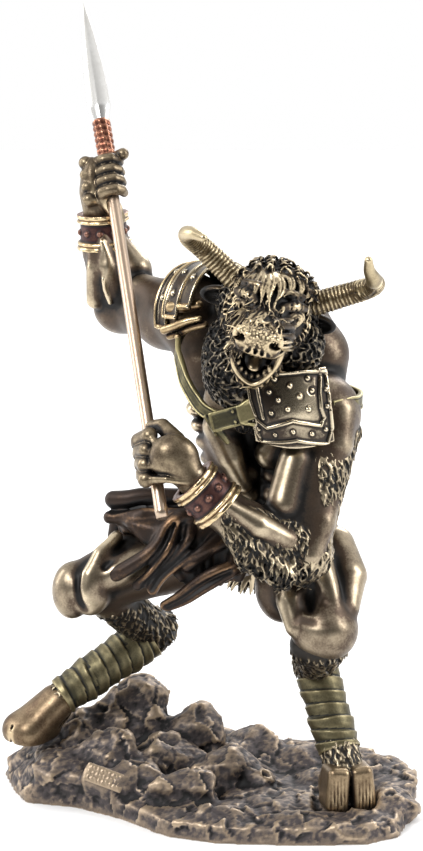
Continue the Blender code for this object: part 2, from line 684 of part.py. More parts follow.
def drop_loose_skins(bm):
    """Keeps the largest skin, and drops those round hollows that the shapes closed in."""
    left = set(bm.verts)
    skins = []
    while left:
        found, edge = set(), [next(iter(left))]
        while edge:
            vert = edge.pop()
            if vert in left:
                left.discard(vert)
                found.add(vert)
                edge += [link.other_vert(vert) for link in vert.link_edges]
        skins.append(found)
    skins.sort(key=len)
    for skin in skins[:-1]:
        bmesh.ops.delete(bm, geom=list(skin), context="VERTS")


def cut(obj, name, bm):
    cutter = object_of(name, bm)
    cutter.hide_render = True
    cutter.display_type = "WIRE"
    boolean = obj.modifiers.new(name, "BOOLEAN")
    boolean.operation = "DIFFERENCE"
    boolean.object = cutter


def cut_shape(obj, name, clay):
    bm = bmesh.new()
    bm.from_mesh(clay.mesh(name))
    cut(obj, name, bm)


def box(low, high):
    bm = bmesh.new()
    size = Vector(high) - Vector(low)
    middle = (Vector(high) + Vector(low)) / 2
    bmesh.ops.create_cube(bm, size=1, matrix=Matrix.Translation(middle) @ Matrix.Diagonal((*size, 1)))
    return bm


def shaft_line():
    """The lowest point of the spear, and its direction."""
    direction = (at(RIGHT_GRIP) - at(LEFT_GRIP)).normalized()
    return at(LEFT_GRIP) - direction * SPEAR_BELOW_FIST, direction


def binding_start():
    """How far up the shaft the binding starts: just above the upper fist."""
    to_upper_fist = SPEAR_BELOW_FIST + (at(RIGHT_GRIP) - at(LEFT_GRIP)).length
    return to_upper_fist + FIST_HALF * UNIT + BINDING_ABOVE_FIST


def spear_frame():
    start, direction = shaft_line()
    across = direction.cross(Vector((0, -1, 0))).normalized()
    turn = Matrix((across, direction.cross(across), direction)).transposed().to_4x4()
    return Matrix.Translation(start) @ turn


def rod(radius, start, end):
    """A round bar on the spear's axis, between two places along it."""
    bm = bmesh.new()
    middle = Matrix.Translation((0, 0, (start + end) / 2))
    bmesh.ops.create_cone(bm, cap_ends=True, segments=16, radius1=radius, radius2=radius,
                          depth=end - start, matrix=spear_frame() @ middle)
    return bm


def minotaur():
    clay = Clay()
    for shape in (torso, arms, hands, head, forelock_and_beard, mane, arm_fur, tail, legs, kilt,
                  shoulder_plates, chest_plate, straps):
        shape(clay)
    bronze = material("cold cast bronze", (0.20, 0.15, 0.10), 0.42, 0.85)
    obj = skinned("figure", clay, FIGURE_GRAIN, 1, FIGURE_TRIANGLES, bronze, DETAILED_PLACES)
    cut(obj, "grip_bore", rod(SHAFT_RADIUS + FIT_GAP, 0, binding_start()))
    bound = binding_start() - FIT_GAP
    cut(obj, "binding_room", rod(BINDING_RADIUS + FIT_GAP, bound, bound + BINDING_LENGTH))
    for name, sole in (("right", RIGHT_SOLE), ("left", LEFT_SOLE)):
        x, y, z = at(sole)
        reach = 22 * UNIT
        cut(obj, name + "_sole_plane", box((x - reach, y - reach, z - reach), (x + reach, y + reach, z)))
    return obj


def spear():
    """A plain rod, a binding wound round it, and a leaf-shaped head with a ridge down each face."""
    bm = bmesh.new()
    rings = []
    bound = binding_start()
    blade_start = bound + BINDING_LENGTH
    sides = 12

    def ring(height, across, deep):
        return [bm.verts.new((across * cos(2 * pi * i / sides), deep * sin(2 * pi * i / sides), height))
                for i in range(sides)]

    rings.append(ring(0, SHAFT_RADIUS, SHAFT_RADIUS))
    rings.append(ring(bound, SHAFT_RADIUS, SHAFT_RADIUS))
    windings = 5
    for i in range(windings):
        low = bound + BINDING_LENGTH * i / windings
        turn = BINDING_LENGTH / windings
        hollow = (SHAFT_RADIUS + 3 * BINDING_RADIUS) / 4
        rings.append(ring(low + 0.08 * turn, hollow, hollow))
        rings.append(ring(low + 0.54 * turn, BINDING_RADIUS, BINDING_RADIUS))
    stations = 9
    for i in range(stations):
        share = (i + 0.5) / stations
        leaf = min(1.0, 0.45 + 3.2 * share) * (1 - share ** 2.2)
        across = BLADE_WIDTH / 2 * leaf
        deep = max(BLADE_THICKNESS / 2 * leaf, BLADE_EDGE)
        rings.append(ring(blade_start + BLADE_LENGTH * share, across, deep))
    for first, second in zip(rings, rings[1:]):
        for i in range(sides):
            bm.faces.new((first[i], first[(i + 1) % sides], second[(i + 1) % sides], second[i]))
    bm.faces.new(rings[0][::-1])
    tip = bm.verts.new((0, 0, blade_start + BLADE_LENGTH))
    for i in range(sides):
        bm.faces.new((rings[-1][i], rings[-1][(i + 1) % sides], tip))
    bmesh.ops.transform(bm, matrix=spear_frame(), verts=bm.verts)
    steel = material("satin metal", (0.45, 0.38, 0.33), 0.35, 0.9)
    return object_of("spear", bm, steel)


# The rock

STONE_CORNERS = 14
STONE_FOOT = 0.7
RIM_SLOPE = 0.965
LEG_ROOM_RADIUS = 10.5
RIGHT_LEDGE_HALF = 10.5
LEFT_LEDGE_HALF = 12.5


def rock_outline():
    """The plan of the rock, drawn from where the hooves stand and how far it runs past them."""
    right, left = at(RIGHT_SOLE), at(LEFT_SOLE)
    low_x, high_x = right.x - ROCK_BEYOND_RIGHT_HOOF, left.x + ROCK_BEYOND_LEFT_HOOF
    low_y, high_y = left.y - ROCK_BEFORE_LEFT_HOOF, right.y + ROCK_BEHIND_RIGHT_HOOF
    shares = (
        (0.00, 0.75), (0.03, 0.56), (0.06, 0.44), (0.18, 0.39), (0.28, 0.28), (0.40, 0.09), (0.52, 0.02),
        (0.70, 0.00), (0.86, 0.01), (0.94, 0.09), (0.97, 0.26), (1.00, 0.55), (0.97, 0.78), (0.85, 0.91),
        (0.66, 0.97), (0.42, 1.00), (0.20, 0.98), (0.05, 0.90),
    )
    return [(low_x + (high_x - low_x) * u, low_y + (high_y - low_y) * v) for u, v in shares]


def boulder(clay, place, size, draw):
    """An angular stone: the hull of points scattered on an ellipsoid and, below them, on the ground."""
    place = Vector(place)
    points = []
    for _ in range(STONE_CORNERS):
        out = Vector((draw.gauss(0, 1), draw.gauss(0, 1), draw.gauss(0, 1))).normalized()
        away = Vector([o * s for o, s in zip(out, size)])
        foot = place + away * STONE_FOOT
        points += [place + away, Vector((foot.x, foot.y, 0))]
    clay.add(*stretched_round(points))


def rock_base():
    clay = Clay()
    outline = rock_outline()
    middle = Vector((sum(x for x, _ in outline), sum(y for _, y in outline))) / len(outline)
    rim = [middle + (Vector(place) - middle) * RIM_SLOPE for place in outline]
    count = len(outline)
    points = [(x, y, -ROCK_RIM_HEIGHT) for x, y in outline] + [(x, y, ROCK_RIM_HEIGHT) for x, y in rim]
    sides = [(i, (i + 1) % count, count + (i + 1) % count, count + i) for i in range(count)]
    clay.add(points, [range(count - 1, -1, -1), range(count, 2 * count), *sides])
    draw = random.Random(21)
    peak = ROCK_PEAK_HEIGHT
    right, left = at(RIGHT_SOLE), at(LEFT_SOLE)
    stones = (
        (-27, 32, 0.62, 13, 13, 0.34), (-36, 28, 0.46, 20, 17, 0.44), (-8, 30, 0.38, 17, 15, 0.34),
        (14, 30, 0.24, 18, 15, 0.24), (34, 28, 0.16, 18, 15, 0.16), (-52, 30, 0.36, 18, 18, 0.32),
        (-66, 15, 0.18, 17, 17, 0.26), (-40, 6, 0.36, 16, 14, 0.28), (-20, 10, 0.30, 20, 15, 0.26),
        (2, 8, 0.26, 18, 14, 0.24), (20, 6, 0.20, 16, 14, 0.16), (-55, 2, 0.26, 20, 12, 0.24),
        (-34, -8, 0.26, 18, 12, 0.22), (-12, -14, 0.22, 18, 14, 0.22), (10, -14, 0.16, 18, 14, 0.16),
        (26, -22, 0.10, 16, 14, 0.16), (4, -32, 0.14, 14, 12, 0.14), (30, -38, 0.08, 26, 10, 0.16),
        (56, -37, 0.08, 18, 10, 0.13), (69, -20, 0.14, 12, 16, 0.16), (71, 4, 0.14, 11, 18, 0.14),
        (60, 18, 0.16, 16, 15, 0.16), (40, 8, 0.12, 18, 14, 0.14), (-46, 42, 0.26, 18, 10, 0.28),
        (-4, 44, 0.16, 26, 10, 0.22), (36, 42, 0.10, 24, 10, 0.16), (-72, 24, 0.14, 10, 16, 0.22),
    )
    for x, y, height, long, wide, tall in stones:
        size = (long * UNIT, wide * UNIT, tall * peak)
        boulder(clay, (x * UNIT, y * UNIT, height * peak), size, draw)
    tablet(clay)
    grey = material("painted rock", (0.20, 0.17, 0.16), 0.75, 0.1)
    obj = skinned("rock_base", clay, ROCK_GRAIN, 0, ROCK_TRIANGLES, grey)
    reach = 2 * FIGURE_HEIGHT
    cut(obj, "underside", box((-reach, -reach, -reach), (reach, reach, 0)))
    for name, sole, half in (("right", right, RIGHT_LEDGE_HALF * UNIT), ("left", left, LEFT_LEDGE_HALF * UNIT)):
        low = (sole.x - half, sole.y - half, sole.z - FIT_GAP)
        high = (sole.x + half, sole.y + half, sole.z + reach)
        cut(obj, name + "_ledge", box(low, high))
    for name, route in (
        ("right", (RIGHT_CANNON[0], RIGHT_CANNON[1], mix(RIGHT_CANNON[1], RIGHT_SOLE, 0.6))),
        ("left", (LEFT_CANNON[0], LEFT_CANNON[1], mix(LEFT_CANNON[1], LEFT_SOLE, 0.6))),
    ):
        for part, upper, lower in (("cannon", *route[:2]), ("ankle", *route[1:])):
            space = Clay()
            open_sky = [(x, y, z + 2 * LEG_ROOM_RADIUS) for x, y, z in (upper, lower)]
            hull(space, [(place, LEG_ROOM_RADIUS) for place in (upper, lower, *open_sky)])
            cut_shape(obj, name + "_" + part + "_room", space)
    return obj


def tablet(clay):
    """The raised name tablet on the front slope, with rows of short strokes in place of a name."""
    middle = Vector((-41, -13, 14)) * UNIT
    turn = Matrix.Rotation(0.33, 3, "Y") @ Matrix.Rotation(-0.35, 3, "X") @ Matrix.Rotation(-0.12, 3, "Z")
    half = Vector((TABLET_LENGTH / 2, TABLET_THICKNESS, TABLET_HEIGHT / 2))
    corners = [middle + turn @ Vector((x * half.x, y * half.y, z * half.z))
               for x in (-1, 1) for y in (-1, 1) for z in (-1, 1)]
    feet = [Vector((corner.x, middle.y + half.y, 0)) for corner in corners]
    clay.add(*stretched_round(corners + feet))


clear_scene()
minotaur()
spear()
rock_base()
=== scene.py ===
"""Looks of the minotaur statue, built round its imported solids: cold-cast bronze on a painted rock.

The statue is put together from the ground up: rock, legs, body, hands, head and fur, armour, cloth,
spear, and then the studio. Lengths are in millimetres until a mesh is made.
"""

import json
import random
from math import atan2, cos, pi, radians, sin

import bpy
import numpy as np
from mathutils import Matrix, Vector, noise

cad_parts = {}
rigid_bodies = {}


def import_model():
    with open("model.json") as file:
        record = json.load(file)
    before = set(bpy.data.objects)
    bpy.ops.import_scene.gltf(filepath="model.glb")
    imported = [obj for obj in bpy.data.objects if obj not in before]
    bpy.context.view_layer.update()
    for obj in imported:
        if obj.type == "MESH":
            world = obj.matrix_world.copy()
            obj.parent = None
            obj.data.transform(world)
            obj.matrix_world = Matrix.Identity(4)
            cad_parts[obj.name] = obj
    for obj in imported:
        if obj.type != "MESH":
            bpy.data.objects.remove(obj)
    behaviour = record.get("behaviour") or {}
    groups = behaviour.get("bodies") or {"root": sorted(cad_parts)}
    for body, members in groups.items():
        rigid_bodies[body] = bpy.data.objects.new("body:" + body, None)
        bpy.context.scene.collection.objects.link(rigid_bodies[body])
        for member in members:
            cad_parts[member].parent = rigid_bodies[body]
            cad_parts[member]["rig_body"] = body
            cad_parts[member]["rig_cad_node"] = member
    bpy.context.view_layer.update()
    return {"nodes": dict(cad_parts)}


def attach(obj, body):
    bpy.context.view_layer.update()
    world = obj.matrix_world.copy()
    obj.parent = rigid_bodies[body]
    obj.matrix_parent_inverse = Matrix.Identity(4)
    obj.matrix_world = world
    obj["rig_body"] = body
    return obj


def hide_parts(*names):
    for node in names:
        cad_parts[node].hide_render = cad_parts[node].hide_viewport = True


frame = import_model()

# The rock. A craggy base cast in stone powder and resin and painted grey-brown, then brushed with
# bronze along its edges. The hooves are set into two ledges cut in it.

ROCK_GRAIN = 1.05
ROCK_WASH = "121011"
ROCK_COAT = "4d4646"
ROCK_RUBBED = "b09c84"
CRAG_SIZE = 15.0
CHIP_SIZE = 8.5
LAYER_SIZE = 4.2
PIT_SIZE = 1.6
TABLET_PLACE = (-41.0, -15.5, 14.5)


def linear(hex_colour):
    """An sRGB hex colour as linear red, green, blue and alpha."""
    shares = [int(hex_colour[i:i + 2], 16) / 255 for i in (0, 2, 4)]
    return (*(s / 12.92 if s <= 0.04045 else ((s + 0.055) / 1.055) ** 2.4 for s in shares), 1.0)


def add_node(tree, kind, inputs=None, **settings):
    """Adds a shader node with its settings, and its inputs as values or links."""
    made = tree.nodes.new("ShaderNode" + kind)
    for name, value in settings.items():
        setattr(made, name, value)
    for key, value in (inputs or {}).items():
        if isinstance(value, bpy.types.NodeSocket):
            tree.links.new(value, made.inputs[key])
        else:
            made.inputs[key].default_value = value
    return made


def patinated(name, wash, coat, rubbed, metal=(0.35, 0.9), rough=(0.62, 0.3), mottle_mm=9.0, grit_mm=0.7,
              grit_height=0.06, wear=0.0):
    """A cast surface with a dark wash left in its hollows, a coat, and edges rubbed back to bright metal."""
    made = bpy.data.materials.new(name)
    made.use_nodes = True
    tree = made.node_tree
    shader = tree.nodes["Principled BSDF"]
    where = add_node(tree, "TexCoord").outputs["Object"]
    recess = add_node(tree, "Attribute", attribute_name="recess").outputs["Fac"]
    edge = add_node(tree, "Attribute", attribute_name="edge").outputs["Fac"]
    mottle = add_node(tree, "TexNoise", {"Vector": where, "Scale": 1000 / mottle_mm, "Detail": 5.0, "Roughness": 0.65})
    grit = add_node(tree, "TexNoise", {"Vector": where, "Scale": 1000 / grit_mm, "Detail": 3.0, "Roughness": 0.6})
    lowered = add_node(tree, "Math", {0: recess, 1: -1.15, 2: 0.52 + wear}, operation="MULTIPLY_ADD").outputs[0]
    raised = add_node(tree, "Math", {0: edge, 1: 0.62, 2: lowered}, operation="MULTIPLY_ADD").outputs[0]
    mixed = add_node(tree, "Math", {0: mottle.outputs["Fac"], 1: 0.5, 2: raised}, operation="MULTIPLY_ADD").outputs[0]
    worn = add_node(tree, "Math", {0: grit.outputs["Fac"], 1: 0.22, 2: mixed}, operation="MULTIPLY_ADD").outputs[0]
    height = add_node(tree, "Math", {0: worn, 1: 0.36}, operation="SUBTRACT", use_clamp=True).outputs[0]
    ramp = add_node(tree, "ValToRGB", {"Fac": height})
    # Where the recess and edge marks carry painted shade and painted highlights, as on the bare body, the legs and the
    # chest plate, the wash and rubbed stops paint them.
    stops = ((0.06, wash), (0.42, coat), (0.86, rubbed))
    for at, colour in stops[2:]:
        ramp.color_ramp.elements.new(at).color = linear(colour)
    for element, (at, colour) in zip(ramp.color_ramp.elements, stops):
        element.position = at
        element.color = linear(colour)
    tree.links.new(ramp.outputs["Color"], shader.inputs["Base Color"])
    metallic = add_node(tree, "MapRange", {0: height, 1: 0.1, 2: 0.6, 3: metal[0], 4: metal[1]})
    roughness = add_node(tree, "MapRange", {0: height, 1: 0.1, 2: 0.8, 3: rough[0], 4: rough[1]})
    tree.links.new(metallic.outputs[0], shader.inputs["Metallic"])
    tree.links.new(roughness.outputs[0], shader.inputs["Roughness"])
    bump = add_node(tree, "Bump", {"Height": grit.outputs["Fac"], "Distance": grit_height / 1000, "Strength": 0.8})
    tree.links.new(bump.outputs["Normal"], shader.inputs["Normal"])
    return made


def object_of(name, points, faces, finish, marks=None):
    """A smooth-shaded object from points in millimetres, with its recess and edge marks."""
    mesh = bpy.data.meshes.new(name)
    mesh.vertices.add(len(points))
    mesh.vertices.foreach_set("co", (np.asarray(points, np.float32) / 1000).ravel())
    faces = np.asarray(faces, np.int32)
    corners = faces.shape[1]
    mesh.loops.add(faces.size)
    mesh.loops.foreach_set("vertex_index", faces.ravel())
    mesh.polygons.add(len(faces))
    mesh.polygons.foreach_set("loop_start", np.arange(0, faces.size, corners, dtype=np.int32))
    mesh.update(calc_edges=True)
    mesh.validate()
    made = bpy.data.objects.new(name, mesh)
    bpy.context.scene.collection.objects.link(made)
    mesh.materials.append(finish)
    mesh.shade_smooth()
    if marks:
        write_marks(mesh, *marks)
    return made


def write_marks(mesh, recess, edge):
    for name, values in (("recess", recess), ("edge", edge)):
        layer = mesh.attributes.new(name, "FLOAT", "POINT")
        layer.data.foreach_set("value", np.asarray(values, np.float32))


def arrays_of(mesh):
    """A mesh's points and normals in millimetres, and its edges."""
    points = np.empty(len(mesh.vertices) * 3, np.float32)
    mesh.vertices.foreach_get("co", points)
    normals = np.empty(len(mesh.vertices) * 3, np.float32)
    mesh.vertex_normals.foreach_get("vector", normals)
    edges = np.empty(len(mesh.edges) * 2, np.int32)
    mesh.edges.foreach_get("vertices", edges)
    return points.reshape(-1, 3) * 1000, normals.reshape(-1, 3), edges.reshape(-1, 2)


def softened(points, edges, turns):
    """The points after each has moved to the middle of its neighbours so many times."""
    degree = np.bincount(edges.ravel(), minlength=len(points))[:, None] + 1e-9
    for _ in range(turns):
        total = np.stack([
            np.bincount(edges[:, 0], points[edges[:, 1], i], len(points))
            + np.bincount(edges[:, 1], points[edges[:, 0], i], len(points)) for i in range(3)
        ], axis=1)
        points = (points + total / degree) / 2
    return points


def marks_by_smoothing(mesh, fine=0.25, broad=0.9):
    """How far each point stands in or out of its smoothed surroundings, near and wide."""
    points, normals, edges = arrays_of(mesh)
    near = softened(points, edges, 5)
    wide = softened(near, edges, 30)
    out_near = ((points - near) * normals).sum(axis=1) / fine
    out_wide = ((points - wide) * normals).sum(axis=1) / broad
    recess = np.clip(-out_near, 0, 1) * 0.5 + np.clip(-out_wide, 0, 1) * 0.6
    edge = np.clip(out_near, 0, 1) * 0.7 + np.clip(out_wide, 0, 1) * 0.3
    return recess, edge


def rock_relief(place):
    """How far the stone's face stands out at a place: crags, chipped facets, slanting layers and pits."""
    crags = noise.ridged_multi_fractal(place / CRAG_SIZE, 1.0, 2.1, 4, 1.0, 2.0) - 1.1
    layered = Vector((place.x * 0.35, place.y * 0.35, place.z + 0.45 * place.x))
    layers = noise.fractal(layered / LAYER_SIZE, 1.0, 2.0, 3)
    pits = noise.fractal(place / PIT_SIZE, 0.8, 2.0, 2)
    middle = noise.voronoi(place / CHIP_SIZE)[1][0]
    chips = (place / CHIP_SIZE - middle).dot(noise.noise_vector(middle * 7.3)) * 4.2
    return 0.65 * crags + 0.75 * chips + 0.45 * layers + 0.3 * pits


rock_paint = patinated("painted stone resin", ROCK_WASH, ROCK_COAT, ROCK_RUBBED, metal=(0.1, 0.6),
                       rough=(0.7, 0.4), mottle_mm=7.0, grit_mm=0.9, grit_height=0.12, wear=-0.08)
rock = frame["nodes"]["rock_base"].copy()
rock.data = rock.data.copy()
rock.name = "craggy_rock"
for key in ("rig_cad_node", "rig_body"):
    del rock[key]
rock.parent = None
bpy.context.scene.collection.objects.link(rock)
remesh = rock.modifiers.new("Even skin", "REMESH")
remesh.mode = "VOXEL"
remesh.voxel_size = ROCK_GRAIN / 1000
graph = bpy.context.evaluated_depsgraph_get()
rock_mesh = bpy.data.meshes.new_from_object(rock.evaluated_get(graph))
rock.modifiers.clear()
rock.data = rock_mesh
rock_mesh.name = "craggy_rock"
rock_points, rock_normals, rock_edges = arrays_of(rock_mesh)
rock_soft = softened(rock_points, rock_edges, 3)
relief = np.array([rock_relief(Vector(point)) for point in rock_soft])
standing = np.clip((rock_points[:, 2] - 0.5) / 3, 0, 1)
standing *= 1 - 0.85 * np.exp(-(np.linalg.norm(rock_points - TABLET_PLACE, axis=1) / 8) ** 4)
rock_carved = rock_soft + rock_normals * (relief * standing)[:, None]
rock_carved[:, 2] = np.where(rock_points[:, 2] < 0.5, np.maximum(rock_points[:, 2], 0), rock_carved[:, 2])
rock_carved[:, 2] = np.maximum(rock_carved[:, 2], 0)
rock_mesh.vertices.foreach_set("co", (rock_carved / 1000).astype(np.float32).ravel())
rock_mesh.update()
rock_mesh.shade_smooth()
write_marks(rock_mesh, *marks_by_smoothing(rock_mesh, 0.55, 2.6))
rock_mesh.materials.clear()
rock_mesh.materials.append(rock_paint)
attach(rock, "root")
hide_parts("rock_base")

# The bare body. Trunk and arms of the one casting, in cold-cast bronze: bronze powder in resin, with a
# dark wash wiped off the muscles, a painted highlight on the broad rises and painted shade in the broad
# hollows. The waist runs on under the kilt and the neck under the mane.

BODY_GRAIN = 0.62
FAR = 4.0
# The skin's wash and rubbed colours also paint shade in broad hollows and highlights on broad rises.
SKIN_WASH_AND_SHADE = "100d0b"
SKIN_COAT = "54463a"
SKIN_RUBBED_AND_HIGHLIGHT = "d2c2a6"


class Clay:
    """A block of space that holds, at each grid point, how far off the surface is.

    Shapes are laid on it or pressed out of it with soft seams, as a modeller works in clay.
    """

    def __init__(self, low, high, grain):
        self.low = np.array(low, np.float32)
        self.grain = grain
        counts = np.ceil((np.array(high) - self.low) / grain).astype(int) + 1
        self.field = np.full(counts, FAR, np.float32)

    def near(self, places, reach):
        """The part of the block within reach of some places, and its x, y and z."""
        places = np.asarray(places, np.float32).reshape(-1, 3)
        first = np.floor((places.min(axis=0) - reach - self.low) / self.grain).astype(int)
        last = np.ceil((places.max(axis=0) + reach - self.low) / self.grain).astype(int) + 1
        first = np.clip(first, 0, self.field.shape)
        last = np.clip(last, 0, self.field.shape)
        grid = [self.low[i] + self.grain * np.arange(first[i], last[i], dtype=np.float32) for i in range(3)]
        return tuple(slice(a, b) for a, b in zip(first, last)), np.ix_(*grid)

    def work(self, part, distance, blend, carve):
        sign = -1 if carve else 1
        held = sign * self.field[part]
        made = np.minimum(held, distance)
        if blend:
            made -= np.maximum(blend - np.abs(held - distance), 0) ** 2 * (0.25 / blend)
        self.field[part] = sign * made

    def limb(self, places, radii, blend=3.0, carve=False, rim=3.0):
        """A round bar through some places, as thick at each as its radius says."""
        places = np.asarray(places, np.float32)
        radii = np.broadcast_to(np.asarray(radii, np.float32), len(places))
        part, (x, y, z) = self.near(places, float(radii.max()) + blend + rim)
        found = None
        for a, b, thick_a, thick_b in zip(places, places[1:], radii, radii[1:]):
            along = b - a
            long2 = float(along @ along) + 1e-9
            dx, dy, dz = x - a[0], y - a[1], z - a[2]
            dot = dx * along[0] + dy * along[1] + dz * along[2]
            t = np.clip(dot / long2, 0, 1)
            square = dx * dx + dy * dy + dz * dz - t * (2 * dot - t * long2)
            distance = np.sqrt(np.maximum(square, 0)) - (thick_a + (thick_b - thick_a) * t)
            found = distance if found is None else np.minimum(found, distance)
        self.work(part, found, blend, carve)

    def egg(self, place, radii, axes=None, blend=3.0, carve=False, rim=3.0):
        """An egg with three radii, along x, y and z or along three given axes."""
        place = np.asarray(place, np.float32)
        part, grid = self.near(place, max(radii) + blend + rim)
        away = [grid[i] - place[i] for i in range(3)]
        if axes is not None:
            away = [away[0] * axis[0] + away[1] * axis[1] + away[2] * axis[2] for axis in axes]
        shares = [(a / r) ** 2 for a, r in zip(away, radii)]
        level = np.sqrt(shares[0] + shares[1] + shares[2])
        steep = np.sqrt(sum(s / r ** 2 for s, r in zip(shares, radii))) + 1e-6
        self.work(part, level * (level - 1) / steep, blend, carve)

    def block(self, place, half, axes=None, blend=0.5, carve=False, corner=0.6):
        """A block with rounded corners, half as long each way as half says."""
        place = np.asarray(place, np.float32)
        part, grid = self.near(place, float(np.linalg.norm(half)) + blend + 2.0)
        away = [grid[i] - place[i] for i in range(3)]
        if axes is not None:
            away = [away[0] * axis[0] + away[1] * axis[1] + away[2] * axis[2] for axis in axes]
        over = [np.abs(a) - (h - corner) for a, h in zip(away, half)]
        outside = np.sqrt(sum(np.maximum(o, 0) ** 2 for o in over))
        inside = np.minimum(np.maximum(np.maximum(over[0], over[1]), over[2]), 0)
        self.work(part, outside + inside - corner, blend, carve)

    def sample(self, places):
        """The distance at each place, between the nearest eight grid points."""
        at = (places - self.low) / self.grain
        base = np.clip(np.floor(at).astype(int), 0, np.array(self.field.shape) - 2)
        share = np.clip(at - base, 0, 1)
        total = np.zeros(len(places), np.float32)
        for corner in np.ndindex(2, 2, 2):
            weight = np.prod(np.where(corner, share, 1 - share), axis=1)
            total += weight * self.field[tuple((base + corner).T)]
        return total

    def slope(self, places):
        """The direction straight out of the surface at each place."""
        step = self.grain * 0.8
        found = np.stack([self.sample(places + step * axis) - self.sample(places - step * axis)
                          for axis in np.eye(3, dtype=np.float32)], axis=1)
        return found / (np.linalg.norm(found, axis=1, keepdims=True) + 1e-9)

    def skin(self):
        """The surface as points and four-sided faces, one point in each cell that it passes through."""
        field = self.field
        for axis in range(3):
            ends = [slice(None)] * 3
            ends[axis] = [0, -1]
            field[tuple(ends)] = np.maximum(field[tuple(ends)], 0.01)
        inside = field < 0
        nx, ny, nz = (n - 1 for n in field.shape)
        first = inside[:nx, :ny, :nz]
        mixed = np.zeros(first.shape, bool)
        corners = list(np.ndindex(2, 2, 2))
        for i, j, k in corners[1:]:
            mixed |= inside[i:nx + i, j:ny + j, k:nz + k] != first
        cells = np.argwhere(mixed)
        number = np.full(mixed.shape, -1, np.int32)
        number[mixed] = np.arange(len(cells))
        values = np.stack([field[tuple((cells + corner).T)] for corner in corners], axis=1)
        total = np.zeros((len(cells), 3))
        crossings = np.zeros(len(cells))
        for a, low_corner in enumerate(corners):
            for axis in range(3):
                if low_corner[axis]:
                    continue
                b = a + (4, 2, 1)[axis]
                crosses = (values[:, a] < 0) != (values[:, b] < 0)
                gap = np.where(crosses, values[:, a] - values[:, b], 1)
                place = np.tile(np.array(low_corner, float), (len(cells), 1))
                place[:, axis] += values[:, a] / gap
                total += place * crosses[:, None]
                crossings += crosses
        points = self.low + self.grain * (cells + total / crossings[:, None])
        faces = []
        for axis in range(3):
            u, v = (axis + 1) % 3, (axis + 2) % 3
            lower = [slice(1, -1)] * 3
            upper = [slice(1, -1)] * 3
            lower[axis], upper[axis] = slice(0, -1), slice(1, None)
            low_in, high_in = inside[tuple(lower)], inside[tuple(upper)]
            for wanted, turned in ((low_in & ~high_in, False), (~low_in & high_in, True)):
                at = np.argwhere(wanted) + 1
                at[:, axis] -= 1
                back_u, back_v = np.zeros(3, int), np.zeros(3, int)
                back_u[u], back_v[v] = 1, 1
                ring = [at - back_u - back_v, at - back_v, at, at - back_u]
                quad = np.stack([number[tuple(cell.T)] for cell in ring], axis=1)
                faces.append(quad[:, ::-1] if turned else quad)
        return points, np.concatenate(faces)

    def cast(self, name, finish, node="figure", extra_edge=None, swell=0.0,
             keep=1.0):
        """The finished piece, marked where the wash stays and the metal is rubbed: rub(places) adds to that.

        With a swell, broad rises of that many millimetres get a painted highlight and broad hollows painted
        shade. Only the share keep of the faces stays, the flattest going first.
        """
        points, faces = self.skin()
        out = self.slope(points)
        depths = (0.7, 1.6, 3.0)
        open_air = sum(np.clip(self.sample(points + out * t) / t, 0, 1) for t in depths) / len(depths)
        rises = (0.6, 1.3)
        edge = sum(np.clip(1 + self.sample(points - out * t) / t, 0, 1) for t in rises) / len(rises)
        recess, edge = np.clip(1.15 - 1.15 * open_air, 0, 1), np.clip(edge * 1.6, 0, 1)
        # Painted highlight on the broad rises and painted shade in the broad hollows, added to the edge and recess
        # marks.
        if swell:
            sides = np.sort(np.concatenate([faces[:, [i, (i + 1) % 4]] for i in range(4)]))
            broad = ((points - softened(points, np.unique(sides, axis=0), 120)) * out).sum(axis=1) / swell
            recess = recess + np.clip(0.3 - broad, 0, 1.2) * 0.4
            edge = edge + np.clip(broad - 0.5, -0.2, 1.2) * 0.4
        if extra_edge:
            edge = edge + extra_edge(points)
        made = object_of(name, points, faces, finish, (recess, edge))
        if keep < 1:
            made.modifiers.new("Thinned", "DECIMATE").ratio = keep
        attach(made, "root")
        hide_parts(node)
        return made


def unit(vector):
    vector = np.asarray(vector, np.float32)
    return vector / (np.linalg.norm(vector) + 1e-9)


def curve_through(places, count):
    """Places spaced along a smooth curve through the given ones."""
    places = np.asarray(places, np.float32)
    ends = np.concatenate([places[:1], places, places[-1:]])
    along = np.linspace(0, len(places) - 1, count)
    i = np.minimum(along.astype(int), len(places) - 2)
    t = (along - i)[:, None]
    p0, p1, p2, p3 = ends[i], ends[i + 1], ends[i + 2], ends[i + 3]
    return 0.5 * (2 * p1 + (p2 - p0) * t + (2 * p0 - 5 * p1 + 4 * p2 - p3) * t ** 2
                  + (3 * p1 - p0 - 3 * p2 + p3) * t ** 3)


skin_bronze = patinated("cold cast bronze wiped bright", SKIN_WASH_AND_SHADE, SKIN_COAT, SKIN_RUBBED_AND_HIGHLIGHT, metal=(0.5, 0.95),
                        rough=(0.5, 0.27), mottle_mm=8.0, grit_mm=0.8, grit_height=0.03, wear=0.06)
body = Clay((-60, -60, 100), (65, 64, 232), BODY_GRAIN)
body.limb([(22, 10, 104), (22, 10, 114), (20, 4, 130)], [17, 16.5, 15.5], blend=4)
body.egg((22, 5, 156), (25, 18, 24), blend=6)
body.egg((18, 14, 184), (27, 16, 19), blend=8)
body.limb([(14, 14, 186), (29, 8, 181)], [17, 14.5], blend=6)
body.limb([(-3, 10, 176), (7, 8, 138)], [11, 9], blend=5)
body.limb([(40, 6, 176), (36, 8, 132)], [12, 9], blend=5)
body.limb([(16, 8, 190), (21, -12, 202)], [16.5, 13.5], blend=5)
body.egg((9, -14, 163), (12, 9, 12), blend=3)
body.egg((32, -14, 160), (13, 9, 13), blend=3)
body.limb([(3, -13, 153), (7.5, -15, 141), (12, -15, 131)], [6.4, 5.2, 3.4], blend=1.6)
body.limb([(5, -6, 146), (9, -6, 130)], [9, 9], blend=3)
